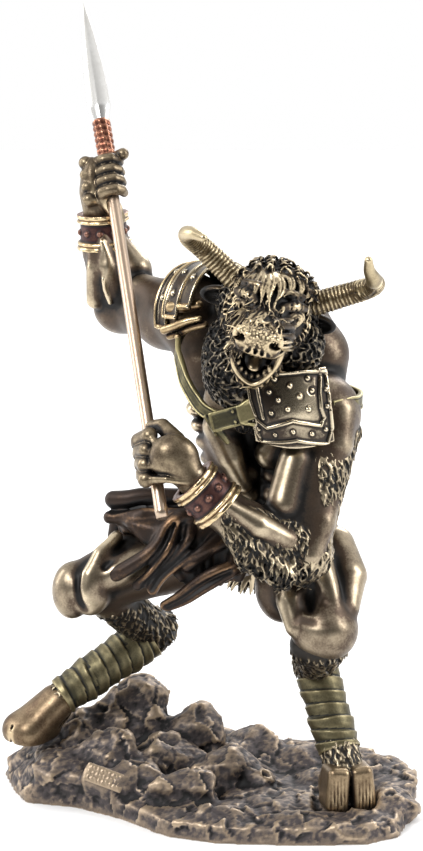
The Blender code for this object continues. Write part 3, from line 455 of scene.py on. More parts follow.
body.limb([(30, -15, 150), (22, -15, 143)], [8, 6], blend=2)
for side in (-1, 1):
    for row in range(3):
        body.egg((18.5 + 5.2 * side, -11.5 + row * 1.2, 135 - 8 * row), (5.4, 4.8, 4.4), blend=1.2)
for i in range(5):
    body.egg((-5.5 + 1.8 * i, -5 + 0.6 * i, 158 - 6.5 * i), (4.2, 5.5, 3.0), blend=1.6)
for side in (-1, 1):
    body.limb([(20 + 7 * side, 24, 118), (19.5 + 8 * side, 24, 168)], [6.5, 7], blend=3)
    body.egg((19 + 14 * side, 23, 181 - 2 * side), (11, 6, 13), blend=3)
    body.limb([(19 + 6 * side, 27, 192), (20 + 18 * side, 25, 172)], [3.4, 2.6], blend=3)
    body.limb([(19 + 22 * side, 14, 168), (20 + 13 * side, 20, 134)], [6, 4.5], blend=3)
body.limb([(18, 31, 196), (20, 31.5, 165), (21, 29, 128)], [1.1, 1.4, 1.6], blend=3, carve=True)
for i in range(6):
    body.egg((18.6 + 0.3 * i, 30.2 - 0.3 * i, 190 - 9 * i), (1.5, 1.4, 2.6), blend=1.6)

# The right arm, raised: shoulder, elbow thrown back, forearm up to the fist
body.egg((-8, 12, 192), (14, 14, 13), blend=5)
body.limb([(-8, 13, 190), (-20, 30, 187.5), (-33, 46, 186)], [13.5, 12, 9.4], blend=5)
body.egg((-17, 22, 185), (11, 11, 10), blend=4)
body.limb([(-13, 12, 194), (-26, 31, 196)], [7.5, 6.0], blend=2.4)
body.limb([(-36, 47, 186), (-35.5, 46, 197), (-40.2, 46, 208), (-41.6, 46, 219)], [9.8, 12.6, 9.8, 7.4], blend=4)
body.limb([(-28, 40, 190), (-29.5, 40, 202), (-36, 42, 213)], [5.5, 6.6, 3.4], blend=1.8)
body.limb([(-38, 37, 194), (-40, 36.5, 204), (-41.5, 39, 215)], [4.0, 4.4, 2.6], blend=1.4)
body.limb([(-45, 40, 190), (-44.5, 38.5, 203), (-44.5, 41, 215)], [3.4, 3.8, 2.2], blend=1.6)

# The left arm, bent across the belly
body.egg((41, -9, 158), (13.5, 13, 14), blend=4)
body.limb([(42, -10, 156), (38, -20, 136), (32, -29, 112)], [13, 12, 11.6], blend=5)
body.limb([(47, -16, 160), (46, -20, 148), (42, -26, 138)], [6.4, 6.8, 3.0], blend=1.8)
body.limb([(34, -20, 154), (31, -25.5, 143), (27, -31, 128), (24, -33, 120)], [4.0, 6.4, 6.8, 4.4], blend=1.5)
body.limb([(44, -22, 134), (40, -31, 121), (36, -37, 110)], [4.6, 6.0, 5.0], blend=1.8)
body.limb([(32, -29, 111), (20, -34, 115), (2, -40, 130)], [11.6, 11.0, 7.4], blend=2.4)
body.limb([(2, -40, 130), (-9, -40, 142)], [7.4, 6], blend=3)
body.limb([(28, -39, 116), (17, -43.5, 123), (5, -45, 131.5)], [4.4, 5.0, 2.6], blend=1.4)
body.limb([(26, -40, 106), (13, -43.5, 115), (3, -44.5, 125)], [5.0, 5.2, 2.6], blend=1.4)
vein = curve_through([(-42, 35.2, 214), (-39.5, 33.6, 205), (-41.5, 32.6, 198), (-39, 33.6, 190)], 9)
body.limb(vein, 0.7, blend=1.4, rim=1.5)
# The swell paints a highlight on the broad rises of trunk and arms and shade in their broad hollows.
body.cast("bare_body", skin_bronze, swell=1.1, keep=0.2)

# The legs. Thighs and knees of the same casting, with a painted highlight brightest on the knees and
# painted shade in the broad hollows, and with short dark hair modelled from below the knee to the
# hock.

HAIR_WASH = "080706"
HAIR_COAT = "31291f"
HAIR_RUBBED = "c2b296"
LEG_GRAIN = 0.62
HAIR_GRAIN = 0.5

legs = Clay((-66, -46, 58), (66, 46, 124), LEG_GRAIN)
legs.egg((22, 12, 107), (20, 16, 15), blend=4)
legs.limb([(10, 14, 104), (-20, 5, 97), (-46, -5, 89)], [17, 15, 10.6], blend=4)
legs.limb([(-18, -6, 102), (-36, -12, 96), (-48, -14, 90)], [6.5, 6.5, 4.5], blend=2.2)
legs.egg((-53, -8, 87.5), (7.6, 8.4, 11), blend=2.6)
legs.egg((-46, -12, 88.5), (8, 6.6, 9.6), blend=1.2)
legs.egg((-41, 2, 84.5), (9.5, 9, 9), blend=3)
legs.limb([(-36, -6, 108), (-42, -11, 102.6), (-45.8, -15, 96), (-46.6, -17.2, 88)], [2.4, 3.0, 2.8, 1.9], blend=3.4)
legs.limb([(-39, -7, 106.4), (-46.8, -10, 101.4), (-50.2, -15, 96), (-50.4, -18.0, 89), (-48, -17, 82)], 0.6, blend=2.4, carve=True)
legs.limb([(-26, -13, 110), (-34, -15.6, 104.4), (-40, -16, 99)], 0.8, blend=1.8, carve=True)
legs.limb([(-41, 1, 84), (-33, 12, 73)], [8.8, 7.6], blend=3)
legs.limb([(33, 12, 102), (38, -8, 93), (42, -24, 80)], [16.5, 15.6, 11.8], blend=4)
legs.egg((42.4, -27, 77.5), (12.4, 12.2, 11.6), blend=3)
legs.egg((27, -9, 89.5), (10.6, 12, 14), blend=4)
legs.limb([(47, -4, 104), (51, -14, 95), (50.5, -24, 86)], [7.5, 7.8, 5.2], blend=1.8)
legs.limb([(37, -16, 110), (40.6, -22, 102), (43.4, -26, 94), (45.4, -29, 87)], [5.4, 5.2, 4.4, 3.6], blend=1.6)
legs.limb([(29, -14, 94), (29.8, -24, 88), (31.6, -29.5, 80)], [6.4, 5.6, 4.2], blend=1.6)
legs.egg((36.6, -31, 93), (3.2, 6.0, 7.0), blend=2.4, carve=True)
legs.limb([(34, -35, 84.6), (39.4, -39.6, 83.6), (46.0, -38.4, 84.2)], [1.2, 1.5, 1.0], blend=1.6, carve=True)
legs.egg((43.6, -34.0, 79.4), (7.4, 4.8, 5.6), blend=1.6)
legs.limb([(41, -20, 71), (40, -8, 62)], [10.2, 7.8], blend=3)
# The swell paints a highlight on the broad rises of thighs and knees and shade in their broad hollows.
legs.cast("bare_legs", skin_bronze, swell=1.1, keep=0.3)


def tuft(clay, root, flow, out, length, thick, draw, strands=3, wave=0.9, lift=0.5):
    """A lock of a few strands that part at the root, wave once and meet at the tip."""
    root, flow, out = (np.asarray(a, np.float32) for a in (root, flow, out))
    across = np.cross(flow, out)
    swing = draw.uniform(-1, 1) * wave
    share = np.linspace(0, 1, 5)[:, None]
    middle = (root + flow * length * share + out * thick * (lift * np.sin(pi * share) - 0.35 * (1 - share))
              + across * swing * thick * np.sin(2 * pi * share * 0.8))
    for strand in range(strands):
        apart = (strand - (strands - 1) / 2) * thick * 0.62 * (1 - 0.75 * share)
        radii = thick * 0.42 * (1 - 0.72 * share[:, 0] ** 1.6)
        clay.limb(middle + across * apart, radii, blend=0.35, rim=1.2)


def grown(clay, low, high, spacing, seed, wanted=None):
    """Roots spread evenly over the part of the surface in a box, each with the direction out of it."""
    part, _ = clay.near([low, high], 0)
    start = np.array([s.start for s in part])
    cells = np.argwhere(np.abs(clay.field[part]) < clay.grain * 0.6)
    places = clay.low + clay.grain * (cells + start)
    if wanted is not None:
        places = places[wanted(places)]
    np.random.RandomState(seed).shuffle(places)
    taken = {}
    kept = []
    for place in places:
        key = tuple((place // spacing).astype(int))
        close = (taken.get((key[0] + i, key[1] + j, key[2] + k)) for i in (-1, 0, 1) for j in (-1, 0, 1) for k in (-1, 0, 1))
        if key not in taken and all(c is None or np.sum((c - place) ** 2) > spacing ** 2 for c in close):
            taken[key] = place
            kept.append(place)
    kept = np.array(kept, np.float32).reshape(-1, 3)
    return kept, clay.slope(kept) if len(kept) else kept


def comb(clay, roots, outs, heading, length, thick, seed, **looks):
    """Lays a lock at each root, in the direction that heading gives there, flat along the skin."""
    draw = random.Random(seed)
    for root, out in zip(roots, outs):
        flow = np.asarray(heading(root), np.float32)
        flow = flow - out * float(flow @ out) + out * 0.12
        turn = draw.uniform(-0.35, 0.35)
        flow = unit(unit(flow) + np.cross(out, unit(flow)) * turn)
        tuft(clay, root, flow, out, length * draw.uniform(0.75, 1.2), thick * draw.uniform(0.85, 1.15), draw, **looks)


hair_bronze = patinated("cold cast bronze with dark hair", HAIR_WASH, HAIR_COAT, HAIR_RUBBED, metal=(0.4, 0.92),
                        rough=(0.5, 0.28), mottle_mm=6.0, grit_mm=0.6, grit_height=0.03, wear=-0.3)
shanks = Clay((-58, -44, 40), (60, 44, 88), HAIR_GRAIN)
shanks.limb([(-38, 4, 80), (-32, 13, 72), (-23, 26, 61)], [7.6, 7.9, 7.4], blend=3)
shanks.egg((-21, 29, 61.5), (7.0, 6.8, 7.2), blend=3)
shanks.limb([(-22.5, 26, 60), (-34, 22.5, 52.5)], [6.8, 6.4], blend=3)
shanks.limb([(41, -17, 68), (40, -4, 60), (40, 7, 54)], [9.6, 8.2, 7.6], blend=3)
shanks.egg((40.5, -25, 71.5), (11.2, 11.4, 7.6), blend=3)
shanks.egg((40, 11, 54), (6.8, 6.8, 7.2), blend=3)
shanks.limb([(40, 7, 53), (43, 1, 43)], [7.2, 6.6], blend=3)
roots, outs = grown(shanks, (-56, -44, 42), (60, 42, 78), 1.5, 3, lambda p: (p[:, 0] < 0) | (p[:, 2] < 71 + 0.05 * p[:, 1]))
comb(shanks, roots, outs, lambda p: (0.1, 0.35, -1), 3.4, 0.85, 31, strands=2, lift=0.3)
shanks.cast("haired_shanks", hair_bronze, keep=0.36)

# The leg wraps. A strip of cloth wound in slanting turns from hock to fetlock, modelled in the casting
# and tinted verdigris green, with the wash left dark where the turns overlap.

WRAP_WASH = "0c0c07"
WRAP_COAT = "3e3a28"
WRAP_RUBBED = "918666"
WRAP_TURN = 5.2
WRAP_STEP = 1.0


def shell(name, finish, place, height, counts, thickness=1.2, around=False, node="figure",
          zone=None, fine=0.25, broad=0.9, extra_edge=None):
    """A plate bent along place(u, v), with relief height(u, v) on its outer face and a plain back."""
    nu, nv = counts
    u, v = np.meshgrid(np.arange(nu) / (nu if around else nu - 1), np.arange(nv) / (nv - 1), indexing="ij")
    middle = np.asarray(place(u, v), np.float64)
    if around:
        along_u = np.roll(middle, -1, axis=0) - np.roll(middle, 1, axis=0)
    else:
        along_u = np.gradient(middle, axis=0)
    out = np.cross(along_u, np.gradient(middle, axis=1))
    out /= np.linalg.norm(out, axis=2, keepdims=True) + 1e-12
    face = middle + out * (height(u, v) + thickness / 2)[:, :, None]
    back = middle - out * (thickness / 2)
    points = np.concatenate([face.reshape(-1, 3), back.reshape(-1, 3)])
    i, j = np.meshgrid(np.arange(nu if around else nu - 1), np.arange(nv - 1), indexing="ij")
    i, j, after = i.ravel(), j.ravel(), ((i + 1) % nu).ravel()
    front = np.stack([i * nv + j, after * nv + j, after * nv + j + 1, i * nv + j + 1], axis=1)
    rear = front[:, ::-1] + nu * nv
    i = np.arange(nu if around else nu - 1)
    after = (i + 1) % nu
    walls = [np.stack([after * nv, i * nv, i * nv + nu * nv, after * nv + nu * nv], axis=1),
             np.stack([i * nv, after * nv, after * nv + nu * nv, i * nv + nu * nv], axis=1) + nv - 1]
    if not around:
        j = np.arange(nv - 1)
        last = (nu - 1) * nv
        walls += [np.stack([j, j + 1, j + 1 + nu * nv, j + nu * nv], axis=1),
                  np.stack([j + 1, j, j + nu * nv, j + 1 + nu * nv], axis=1) + last]
    faces = np.concatenate([front, rear, *walls])
    finishes = finish if isinstance(finish, (list, tuple)) else [finish]
    made = object_of(name, points, faces, finishes[0])
    for further in finishes[1:]:
        made.data.materials.append(further)
    if zone is not None:
        which = np.zeros(len(faces), np.int32)
        which[:len(front)] = zone(u, v).ravel()[front[:, 0]]
        made.data.polygons.foreach_set("material_index", which)
    recess, edge = marks_by_smoothing(made.data, fine, broad)
    # On the chest plate this adds a painted highlight to the edge mark.
    if extra_edge:
        edge[:u.size] += extra_edge(u, v).ravel()
    write_marks(made.data, recess, edge)
    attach(made, "root")
    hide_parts(node)
    return made


def frame_along(start, end):
    """The direction from start to end, and two directions square to it."""
    axis = unit(np.subtract(end, start))
    side = unit(np.cross(axis, (0, 0, 1) if abs(axis[2]) < 0.8 else (0, 1, 0)))
    return axis, side, np.cross(axis, side)


wrap_cloth = patinated("verdigris bronze cloth", WRAP_WASH, WRAP_COAT, WRAP_RUBBED, metal=(0.3, 0.8),
                       rough=(0.6, 0.38), mottle_mm=5.0, grit_mm=0.6, grit_height=0.05, wear=-0.08)


def leg_wrap(name, top, bottom, top_radius, bottom_radius, lean, seed):
    top, bottom = np.array(top, float), np.array(bottom, float)
    axis, side, other = frame_along(top, bottom)
    length = np.linalg.norm(bottom - top)
    draw = np.random.RandomState(seed)
    tilts = draw.uniform(-0.3, 0.3, 40)
    swells = draw.uniform(0.7, 1.25, 40)

    def place(u, v):
        turn = 2 * pi * u
        radius = top_radius + (bottom_radius - top_radius) * v
        radius = radius + 0.5 * np.sin(pi * v * 2.2) ** 2
        ring = np.cos(turn)[..., None] * side + np.sin(turn)[..., None] * other
        slant = lean * np.cos(turn - 0.6) * radius
        slant = slant * np.clip(np.minimum(v, 1 - v) * 5, 0.12, 1)
        return top + axis * (v * length + slant)[..., None] + ring * radius[..., None]

    def height(u, v):
        turns = v * length / WRAP_TURN + u
        number = np.floor(turns).astype(int)
        wobble = tilts[number % 40] * np.cos(2 * pi * u + number)
        share = turns + wobble * np.minimum(1, 4 * np.minimum(turns - number, 1 + number - turns))
        share = share - np.floor(share)
        lip = np.clip(share / 0.10, 0, 1) * (1 - 0.75 * share ** 1.3)
        creases = 0.06 * np.sin(3.1 * share * pi + 9 * u) * np.sin(17 * u + 3 * number)
        return WRAP_STEP * swells[number % 40] * lip + creases

    return shell(name, wrap_cloth, place, height, (92, 100), thickness=1.6, around=True, fine=0.24, broad=0.6)


leg_wrap("right_leg_wrap", (-24.5, 25.4, 58.7), (-58.5, 15.7, 36.9), 7.3, 5.9, 0.30, 4)
leg_wrap("left_leg_wrap", (40.4, 6.2, 51.7), (49.0, -10.0, 23.9), 6.7, 6.6, 0.20, 9)

# The hooves. Two claws with a cleft on each foot, cast with the leg, and a fringe of dark hair over them.

HOOF_WASH = "17110c"
HOOF_COAT = "5c4a38"
HOOF_RUBBED = "c4ae8c"
HOOF_GRAIN = 0.42

hoof_bronze = patinated("cold cast bronze hoof", HOOF_WASH, HOOF_COAT, HOOF_RUBBED, metal=(0.5, 0.92),
                        rough=(0.5, 0.3), mottle_mm=7.0, grit_mm=0.7, grit_height=0.04, wear=0.06)
left_hoof = Clay((34, -36, 4.6), (68, 2, 30), HOOF_GRAIN)
toe, beside, upright = unit((0.2, -0.98, 0)), unit((0.98, 0.2, 0)), np.array((0, 0, 1.0))
sole = np.array((51.2, -17.0, 5.3))
for side in (-1, 1):
    lean = unit(upright - beside * side * 0.10 - toe * 0.10)
    cross_way = unit(np.cross(toe, lean))
    forward = np.cross(lean, cross_way)
    claw = sole + beside * side * 5.0 + toe * 3.4 + upright * 8.0
    left_hoof.block(claw, (4.5, 7.4, 8.6), (cross_way, forward, lean), blend=0.3, corner=2.6)
    left_hoof.egg(sole + beside * side * 4.4 - toe * 5.0 + upright * 6.5, (5, 5.4, 8), blend=2)
    for i in range(6):
        foot = claw + beside * side * (-3.4 + 1.3 * i) + toe * 7.62
        left_hoof.limb([foot - upright * 7, foot + upright * (4.5 + i % 3) - toe * 0.5], 0.2, blend=0.5, carve=True, rim=1)
left_hoof.limb([(49.8, -12.6, 21), (50.6, -15.6, 15)], [5.6, 6.6], blend=1.5)
left_hoof.limb([sole + toe * 11.4 + upright * 14, sole + toe * 12.4 - upright * 2], [0.5, 2.0], blend=0.3, carve=True)
left_hoof.block(sole - upright * 10, (30, 30, 10), blend=0, carve=True, corner=0.1)
left_hoof.cast("left_hoof", hoof_bronze, keep=0.4)

right_hoof = Clay((-86, -4, 19.6), (-48, 34, 46), HOOF_GRAIN)
toe, beside = unit((-0.72, -0.69, 0)), unit((0.69, -0.72, 0))
sole = np.array((-70.3, 15.0, 20.3))
for side in (-1, 1):
    right_hoof.limb([(-60.5 + beside[0] * side * 1.8, 15.8 + beside[1] * side * 1.8, 35),
                     sole + beside * side * 2.9 + toe * 3.0 + upright * 3.8], [6.0, 6.6], blend=3.4)
    right_hoof.limb([sole + beside * side * 2.9 + toe * 4.4 + upright * 3.4,
                     sole + beside * side * 2.9 - toe * 5.4 + upright * 4.2], [5.8, 5.6], blend=3.4)
right_hoof.limb([sole + toe * 10 + upright * 7, sole + toe * 9 - upright * 2], [0.5, 1.5], blend=0.3, carve=True)
right_hoof.block(sole - upright * 10, (30, 30, 10), blend=0, carve=True, corner=0.1)
right_hoof.cast("right_hoof", hoof_bronze, keep=0.3)

fringe = Clay((-80, -30, 8), (66, 34, 46), 0.45)
for ankle, foot, wide, low, high in (((49.2, -10.6, 25.0), (50.8, -16.0, 16.4), 6.8, (36, -32, 12), (64, 4, 30)),
                                     ((-57.6, 15.9, 37.2), (-63.5, 15.4, 30.4), 5.8, (-78, 4, 24), (-46, 30, 42))):
    fringe.limb([ankle, foot], [wide, wide + 0.9], blend=0.5)
    down = np.subtract(foot, ankle)
    comb(fringe, *grown(fringe, low, high, 1.4, 17), lambda p: down, 3.4, 0.95, 18, wave=0.8, strands=2)
fringe.cast("hoof_fringes", hair_bronze, keep=0.42)

# The hands. Both fists close round the shaft, thumbs over the fingers, with tendons and veins on the
# backs, cast with the arms and hidden at the wrist under the bracers.

HAND_GRAIN = 0.42
SHAFT_RADIUS = 2.4
RIGHT_GRIP = np.array((-38.9, 44.2, 236.2))
LEFT_GRIP = np.array((-21.8, -28.8, 146.4))
SHAFT = unit(RIGHT_GRIP - LEFT_GRIP)
GRIP_FRONT = unit(np.array((0, -1.0, 0)) + SHAFT * SHAFT[1])
GRIP_SIDE = np.cross(SHAFT, GRIP_FRONT)

hand_bronze = patinated("cold cast bronze of the hands", SKIN_WASH_AND_SHADE, "5a4d3d", "d0bd9c", metal=(0.45, 0.93),
                        rough=(0.5, 0.28), mottle_mm=4.0, grit_mm=0.6, grit_height=0.04, wear=0.0)


def finger(clay, grip, height, start, sweep, knuckle, thick):
    """A finger bent round the shaft from its knuckle, with swollen joints and a crease across it near the knuckle."""
    bend = SHAFT_RADIUS + thick * 0.93
    turns = [start + sweep * i / 6 for i in range(7)]
    ring = [grip + SHAFT * height + (GRIP_FRONT * cos(t) + GRIP_SIDE * sin(t)) * bend for t in turns]
    swell = (1.16, 1.04, 0.95, 1.06, 0.96, 1.0, 0.9, 0.72)
    clay.limb([knuckle, *ring], [thick * s for s in swell], blend=0.45, rim=1.5)
    out = GRIP_FRONT * cos(turns[1]) + GRIP_SIDE * sin(turns[1])
    crease = ring[1] + out * thick * 1.02
    clay.limb([crease - SHAFT * thick * 0.7, crease + SHAFT * thick * 0.7], 0.28, blend=0.4, carve=True, rim=1)


right_hand = Clay((-58, 28, 212), (-22, 62, 252), HAND_GRAIN)
right_hand.limb([(-41.6, 46, 216), (-43, 46, 222), (-44.6, 44.5, 231)], [6.6, 6.4, 6.0], blend=2)
right_hand.egg((-46, 47, 234.5), (4.6, 7, 10.2), blend=2)
for i, up in enumerate((-6.6, -2.1, 2.4, 6.9)):
    knuckle = (-47.0 - 0.5 * i, 39 + 2.6 * i, 229.5 + 4.3 * i)
    finger(right_hand, RIGHT_GRIP, up, -2.0, 3.6, knuckle, 2.3)
    right_hand.limb([knuckle, (-46, 43 + i, 224 + i), (-43.5, 43.4 + 0.8 * i, 218)], [1.4, 1.1, 0.8], blend=0.8, rim=1.5)
right_hand.limb([(-45, 53, 234), (-38, 51, 243), (-34, 46.5, 246)], [3.3, 2.7, 2.3], blend=0.8)
right_hand.limb([(-36, 40.2, 222), (-37.6, 39.4, 226), (-40.4, 40.2, 229)], [3.0, 3.4, 3.2], blend=1.5)
right_hand.limb([LEFT_GRIP, RIGHT_GRIP + SHAFT * 30], SHAFT_RADIUS + 0.05, blend=0, carve=True)
right_hand.cast("right_hand", hand_bronze, keep=0.45)

left_hand = Clay((-36, -54, 130), (2, -18, 164), HAND_GRAIN)
left_hand.limb([(-3, -40.4, 135), (-9, -40, 142), (-15, -38.5, 148)], [6.2, 6.1, 6.5], blend=2)
left_hand.egg((-13.5, -39.5, 147.5), (9.4, 6.2, 8.8), ((0.79, 0, -0.61), (0, 1, 0), (0.61, 0, 0.79)), blend=2)
for i, up in enumerate((-8.0, -3.6, 0.8, 5.2)):
    knuckle = (-24.0 - 0.5 * i + 0.3 * i * i, -39.5 + 2.0 * i, 139.5 + 5.0 * i)
    finger(left_hand, LEFT_GRIP, up, -1.0, -3.4, knuckle, 2.7)
    middle = (-16.5 - 0.6 * i, -45.2 + 1.1 * i, 141.0 + 3.6 * i)
    left_hand.limb([knuckle, middle, (-8.5 - 0.2 * i, -45.2 + 0.8 * i, 139.6 + 1.7 * i)], [1.6, 1.3, 0.9], blend=0.8, rim=1.5)
left_hand.limb([(-13, -35, 153), (-18, -29, 157), (-22, -25.5, 156)], [3.6, 2.9, 2.4], blend=0.8)
left_hand.limb([LEFT_GRIP - SHAFT * 40, RIGHT_GRIP], SHAFT_RADIUS + 0.05, blend=0, carve=True)
left_hand.cast("left_hand", hand_bronze, keep=0.45)

# The bracers. Dark red-brown leather bands with domed rivets between two grooved rims of gilt bronze.

BRACER_LEATHER = ("0d0606", "33191a", "7d5a4c")
BRACER_GILT = ("1a110a", "6b5238", "d6bf96")

bracer_leather = patinated("oxblood tinted bronze leather", *BRACER_LEATHER, metal=(0.3, 0.7), rough=(0.5, 0.34),
                           mottle_mm=4.0, grit_mm=0.8, grit_height=0.06)
gilt_rim = patinated("gilt bronze rim", *BRACER_GILT, metal=(0.6, 0.95), rough=(0.45, 0.26), mottle_mm=4.0,
                     grit_mm=0.8, grit_height=0.03, wear=0.1)


def bracer(name, start, end, start_radius, end_radius, rivets, turn_by):
    start, end = np.array(start, float), np.array(end, float)
    axis, side, other = frame_along(start, end)
    length = np.linalg.norm(end - start)
    start_out = 2 * pi * start_radius

    def place(u, v):
        turn = 2 * pi * u
        radius = start_radius + (end_radius - start_radius) * v
        ring = np.cos(turn)[..., None] * side + np.sin(turn)[..., None] * other
        return start + axis * (v * length)[..., None] + ring * radius[..., None]

    def height(u, v):
        from_end = np.minimum(v, 1 - v)
        rim = np.clip((0.25 - from_end) / 0.025, 0, 1)
        groove = np.exp(-((from_end - 0.125) / 0.03) ** 2)
        found = rim * (1.25 - 0.55 * groove)
        for i in range(rivets):
            away = (u - (i + turn_by) / rivets + 0.5) % 1 - 0.5
            square = (away * start_out) ** 2 + ((v - 0.5) * length) ** 2
            found = np.maximum(found, np.sqrt(np.maximum(1.25 ** 2 - square, 0)) * 0.95)
        return found + 0.10 * np.sin(31 * pi * u + 3 * np.sin(7 * v)) * rim * (1 - groove)

    return shell(name, [bracer_leather, gilt_rim], place, height, (132, 44), thickness=1.6, around=True,
                 zone=lambda u, v: (np.minimum(v, 1 - v) < 0.25).astype(int), fine=0.3, broad=0.8)


bracer("right_bracer", (-41.2, 46, 209.5), (-42.0, 46, 223.0), 8.6, 7.9, 10, 0.3)
bracer("left_bracer", (3.4, -40.5, 128.8), (-7.0, -40.5, 139.2), 8.8, 8.0, 10, 0.2)

# The head. A bull's head with a furious face, cast with the body: heavy frown, wet-looking nose pad,
# open mouth with teeth and tongue. The eyes, teeth and lips are picked out by the wiped metal.

HEAD_GRAIN = 0.4
SKULL = np.array((22.0, -22.0, 204.0))
NOSEWARD = unit((-0.156, -0.916, -0.369))
ACROSS = np.array((0.966, -0.063, -0.251))
UPWARD = np.cross(NOSEWARD, ACROSS)
HEAD_AXES = (ACROSS, NOSEWARD, UPWARD)


def on_head(across, noseward, upward):
    return SKULL + ACROSS * across + NOSEWARD * noseward + UPWARD * upward


def in_head(places):
    """Places in the head's own frame: across, noseward and upward."""
    return (places - SKULL) @ np.array(HEAD_AXES).T


face_bronze = patinated("cold cast bronze of the face", "0d0a08", "463a2d", "d2bf9c", metal=(0.45, 0.94),
                        rough=(0.5, 0.28), mottle_mm=5.0, grit_mm=0.6, grit_height=0.04, wear=0.02)
head = Clay((-12, -66, 164), (60, 6, 230), HEAD_GRAIN)


def feature(place, radii, blend=1.2, carve=False):
    head.egg(on_head(*place), radii, HEAD_AXES, blend=blend, carve=carve, rim=2.0)


def ridge(places, radii, blend=0.9, carve=False):
    head.limb([on_head(*place) for place in places], radii, blend=blend, carve=carve, rim=1.8)


feature((0, -2, 0), (13.2, 13, 12), 3)
ridge([(0, 4, 0), (-0.5, 30, 3.2)], [10.2, 6.6], 4)
feature((0, 9, 8), (7.6, 9, 3.8), 3)
feature((0.6, 17, -13.5), (7.6, 12, 5.6), 2.5)
for side in (-1, 1):
    feature((9.6 * side, 6, -5.5), (5.2, 9.5, 7.2), 3)
    feature((7.4 * side, 21, 0.2), (4.2, 9, 4.2), 2.5)
feature((-0.8, 34.5, 4.6), (8.4, 5.0, 5.0), 2)
feature((-0.4, 35.6, 1.8), (8.2, 4.2, 2.8), 1.4)
feature((-0.9, 36.8, 7.2), (7.0, 2.8, 2.8), 1.6)

# The mouth: a hollow with the palate, tongue, teeth and the two thin lips round it
feature((0.4, 26, -7.6), (6.9, 9.5, 9.4), 0.8, carve=True)
feature((0.2, 34, -4.0), (6.6, 6.0, 4.6), 0.8, carve=True)
upper_lip = [(-9.0, 28, -4.0), (-8.6, 31.5, -2.2), (-6.2, 36.0, 0.0), (-2.6, 38.6, 1.2), (1.4, 38.8, 1.2),
             (5.4, 36.4, -0.2), (8.2, 32.0, -0.9), (9.0, 28, -2.0)]
lower_lip = [(-9.0, 28, -4.0), (-8.6, 28.6, -9), (-6.4, 29.5, -14.2), (-2.0, 30.3, -17.6), (2.2, 30.4, -18.1),
             (6.0, 29.6, -13.8), (8.4, 28.6, -8), (9.0, 28, -2.0)]
for lip in (upper_lip, lower_lip):
    ridge(curve_through(lip, 22), 0.72, 0.35)
ridge(curve_through([(a * 0.93, n - 2.2, u - 0.6) for a, n, u in lower_lip], 18), 1.7, 1.0)
feature((0.2, 22.5, -12.6), (4.0, 7.4, 2.2), 0.8)
ridge([(0.2, 17, -10.6), (0.2, 28.6, -12.4)], 0.45, 0.5, carve=True)
for i in range(7):
    across = -5.4 + 1.75 * i
    feature((across, 36.2 - 0.12 * across ** 2, -0.9), (0.85, 0.8, 1.5), 0.15)
for i, (across, upward) in enumerate(((-5.6, -11.6), (-4.0, -14.2), (-1.9, -15.7), (0.4, -16.2), (2.6, -15.4), (4.5, -13.2), (5.8, -10.8))):
    feature((across, 28.6, upward), (0.95, 0.9, 1.5), 0.15)

# The nose pad, stippled all over, with its two nostrils, the groove below and the creases round it
for across, side in ((-7.0, -1), (4.9, 1)):
    ring = [(across + 2.2 * cos(t) + 0.2 * side, 37.3 - 0.14 * abs(across + 1.1), 6.2 + 2.5 * sin(t))
            for t in np.linspace(0, 2 * pi, 11)]
    ridge(ring, 1.1, 0.8)
    feature((across, 38.6, 6.0), (1.45, 4.2, 1.85), 0.2, carve=True)
    feature((across + 1.4 * side, 37.6, 4.6), (1.3, 3.2, 0.8), 0.2, carve=True)


def on_pad(places):
    across, noseward, upward = in_head(places).T
    return (noseward > 31.5) & (upward > 2.6) & (np.abs(across + 1.0) < 8.6) & (
        (np.abs(across + 1.0) < 3.6) | (upward > 7.4) | (noseward < 36))


for root, out in zip(*grown(head, (-12, -66, 184), (40, -44, 212), 0.95, 12, on_pad)):
    head.egg(root + out * 0.12, (0.44, 0.44, 0.44), blend=0.15, rim=0.6)
for across in (-5.0, -2.9, -0.7, 1.5, 3.4):
    ridge([(across * 0.75 - 0.3, 40.2, 6.0), (across, 39.9, 3.6), (across * 1.2, 38.8, 1.4)], [0.3, 0.6, 0.6], 0.3, carve=True)

# The eyes, each in two rings of lids under a heavy brow
for side in (-1, 1):
    eye = np.array((10.3 * side, 13.4, 2.4))
    look = unit((0.70 * side, 0.68, 0.22))
    level = unit(np.cross(look, (0, 0, 1)))
    rise = np.cross(level, look)
    ridge([(3.4 * side, 21.2, 9.2), (6.0 * side, 18.0, 9.6), (9.6 * side, 14.6, 9.0), (12.6 * side, 11.0, 6.4)],
          [1.0, 1.7, 2.0, 1.5], 1.6)
    ridge([(2.8 * side, 13.6, 12.8), (7.0 * side, 12.4, 12.0), (11 * side, 9.2, 9.8)], [1.2, 1.6, 1.2], 2.2)
    ridge([(1.3 * side, 17.2, 11.0), (2.8 * side, 20.0, 10.2), (4.8 * side, 22.4, 8.0)], [0.8, 1.2, 0.7], 0.6, carve=True)
    feature(eye + look * 0.2, (3.4, 3.4, 2.7), 1.0, carve=True)
    feature(eye - look * 0.7, (2.2, 2.2, 2.2), 0.1)
    for size, thick, out in ((2.75, 0.5, 0.3), (4.0, 0.6, -0.2)):
        ring = [eye + level * size * cos(t) + rise * size * 0.8 * sin(t) + look * out for t in np.linspace(0, 2 * pi, 13)]
        ridge(ring, thick, 0.2)
    feature(eye + look * 1.2, (0.9, 0.9, 0.9), 0.1, carve=True)
    for i in range(3):
        ridge(curve_through([((6.0 + 2.0 * i) * side, 13.4 - i, 12.4 - 0.8 * i), ((7.4 + 1.8 * i) * side, 16.6 - 1.2 * i, 11.6 - 0.9 * i),
                             ((7.8 + 1.8 * i) * side, 18.2 - 1.4 * i, 9.4 - 0.9 * i)], 6), 0.35, 0.4, carve=True)

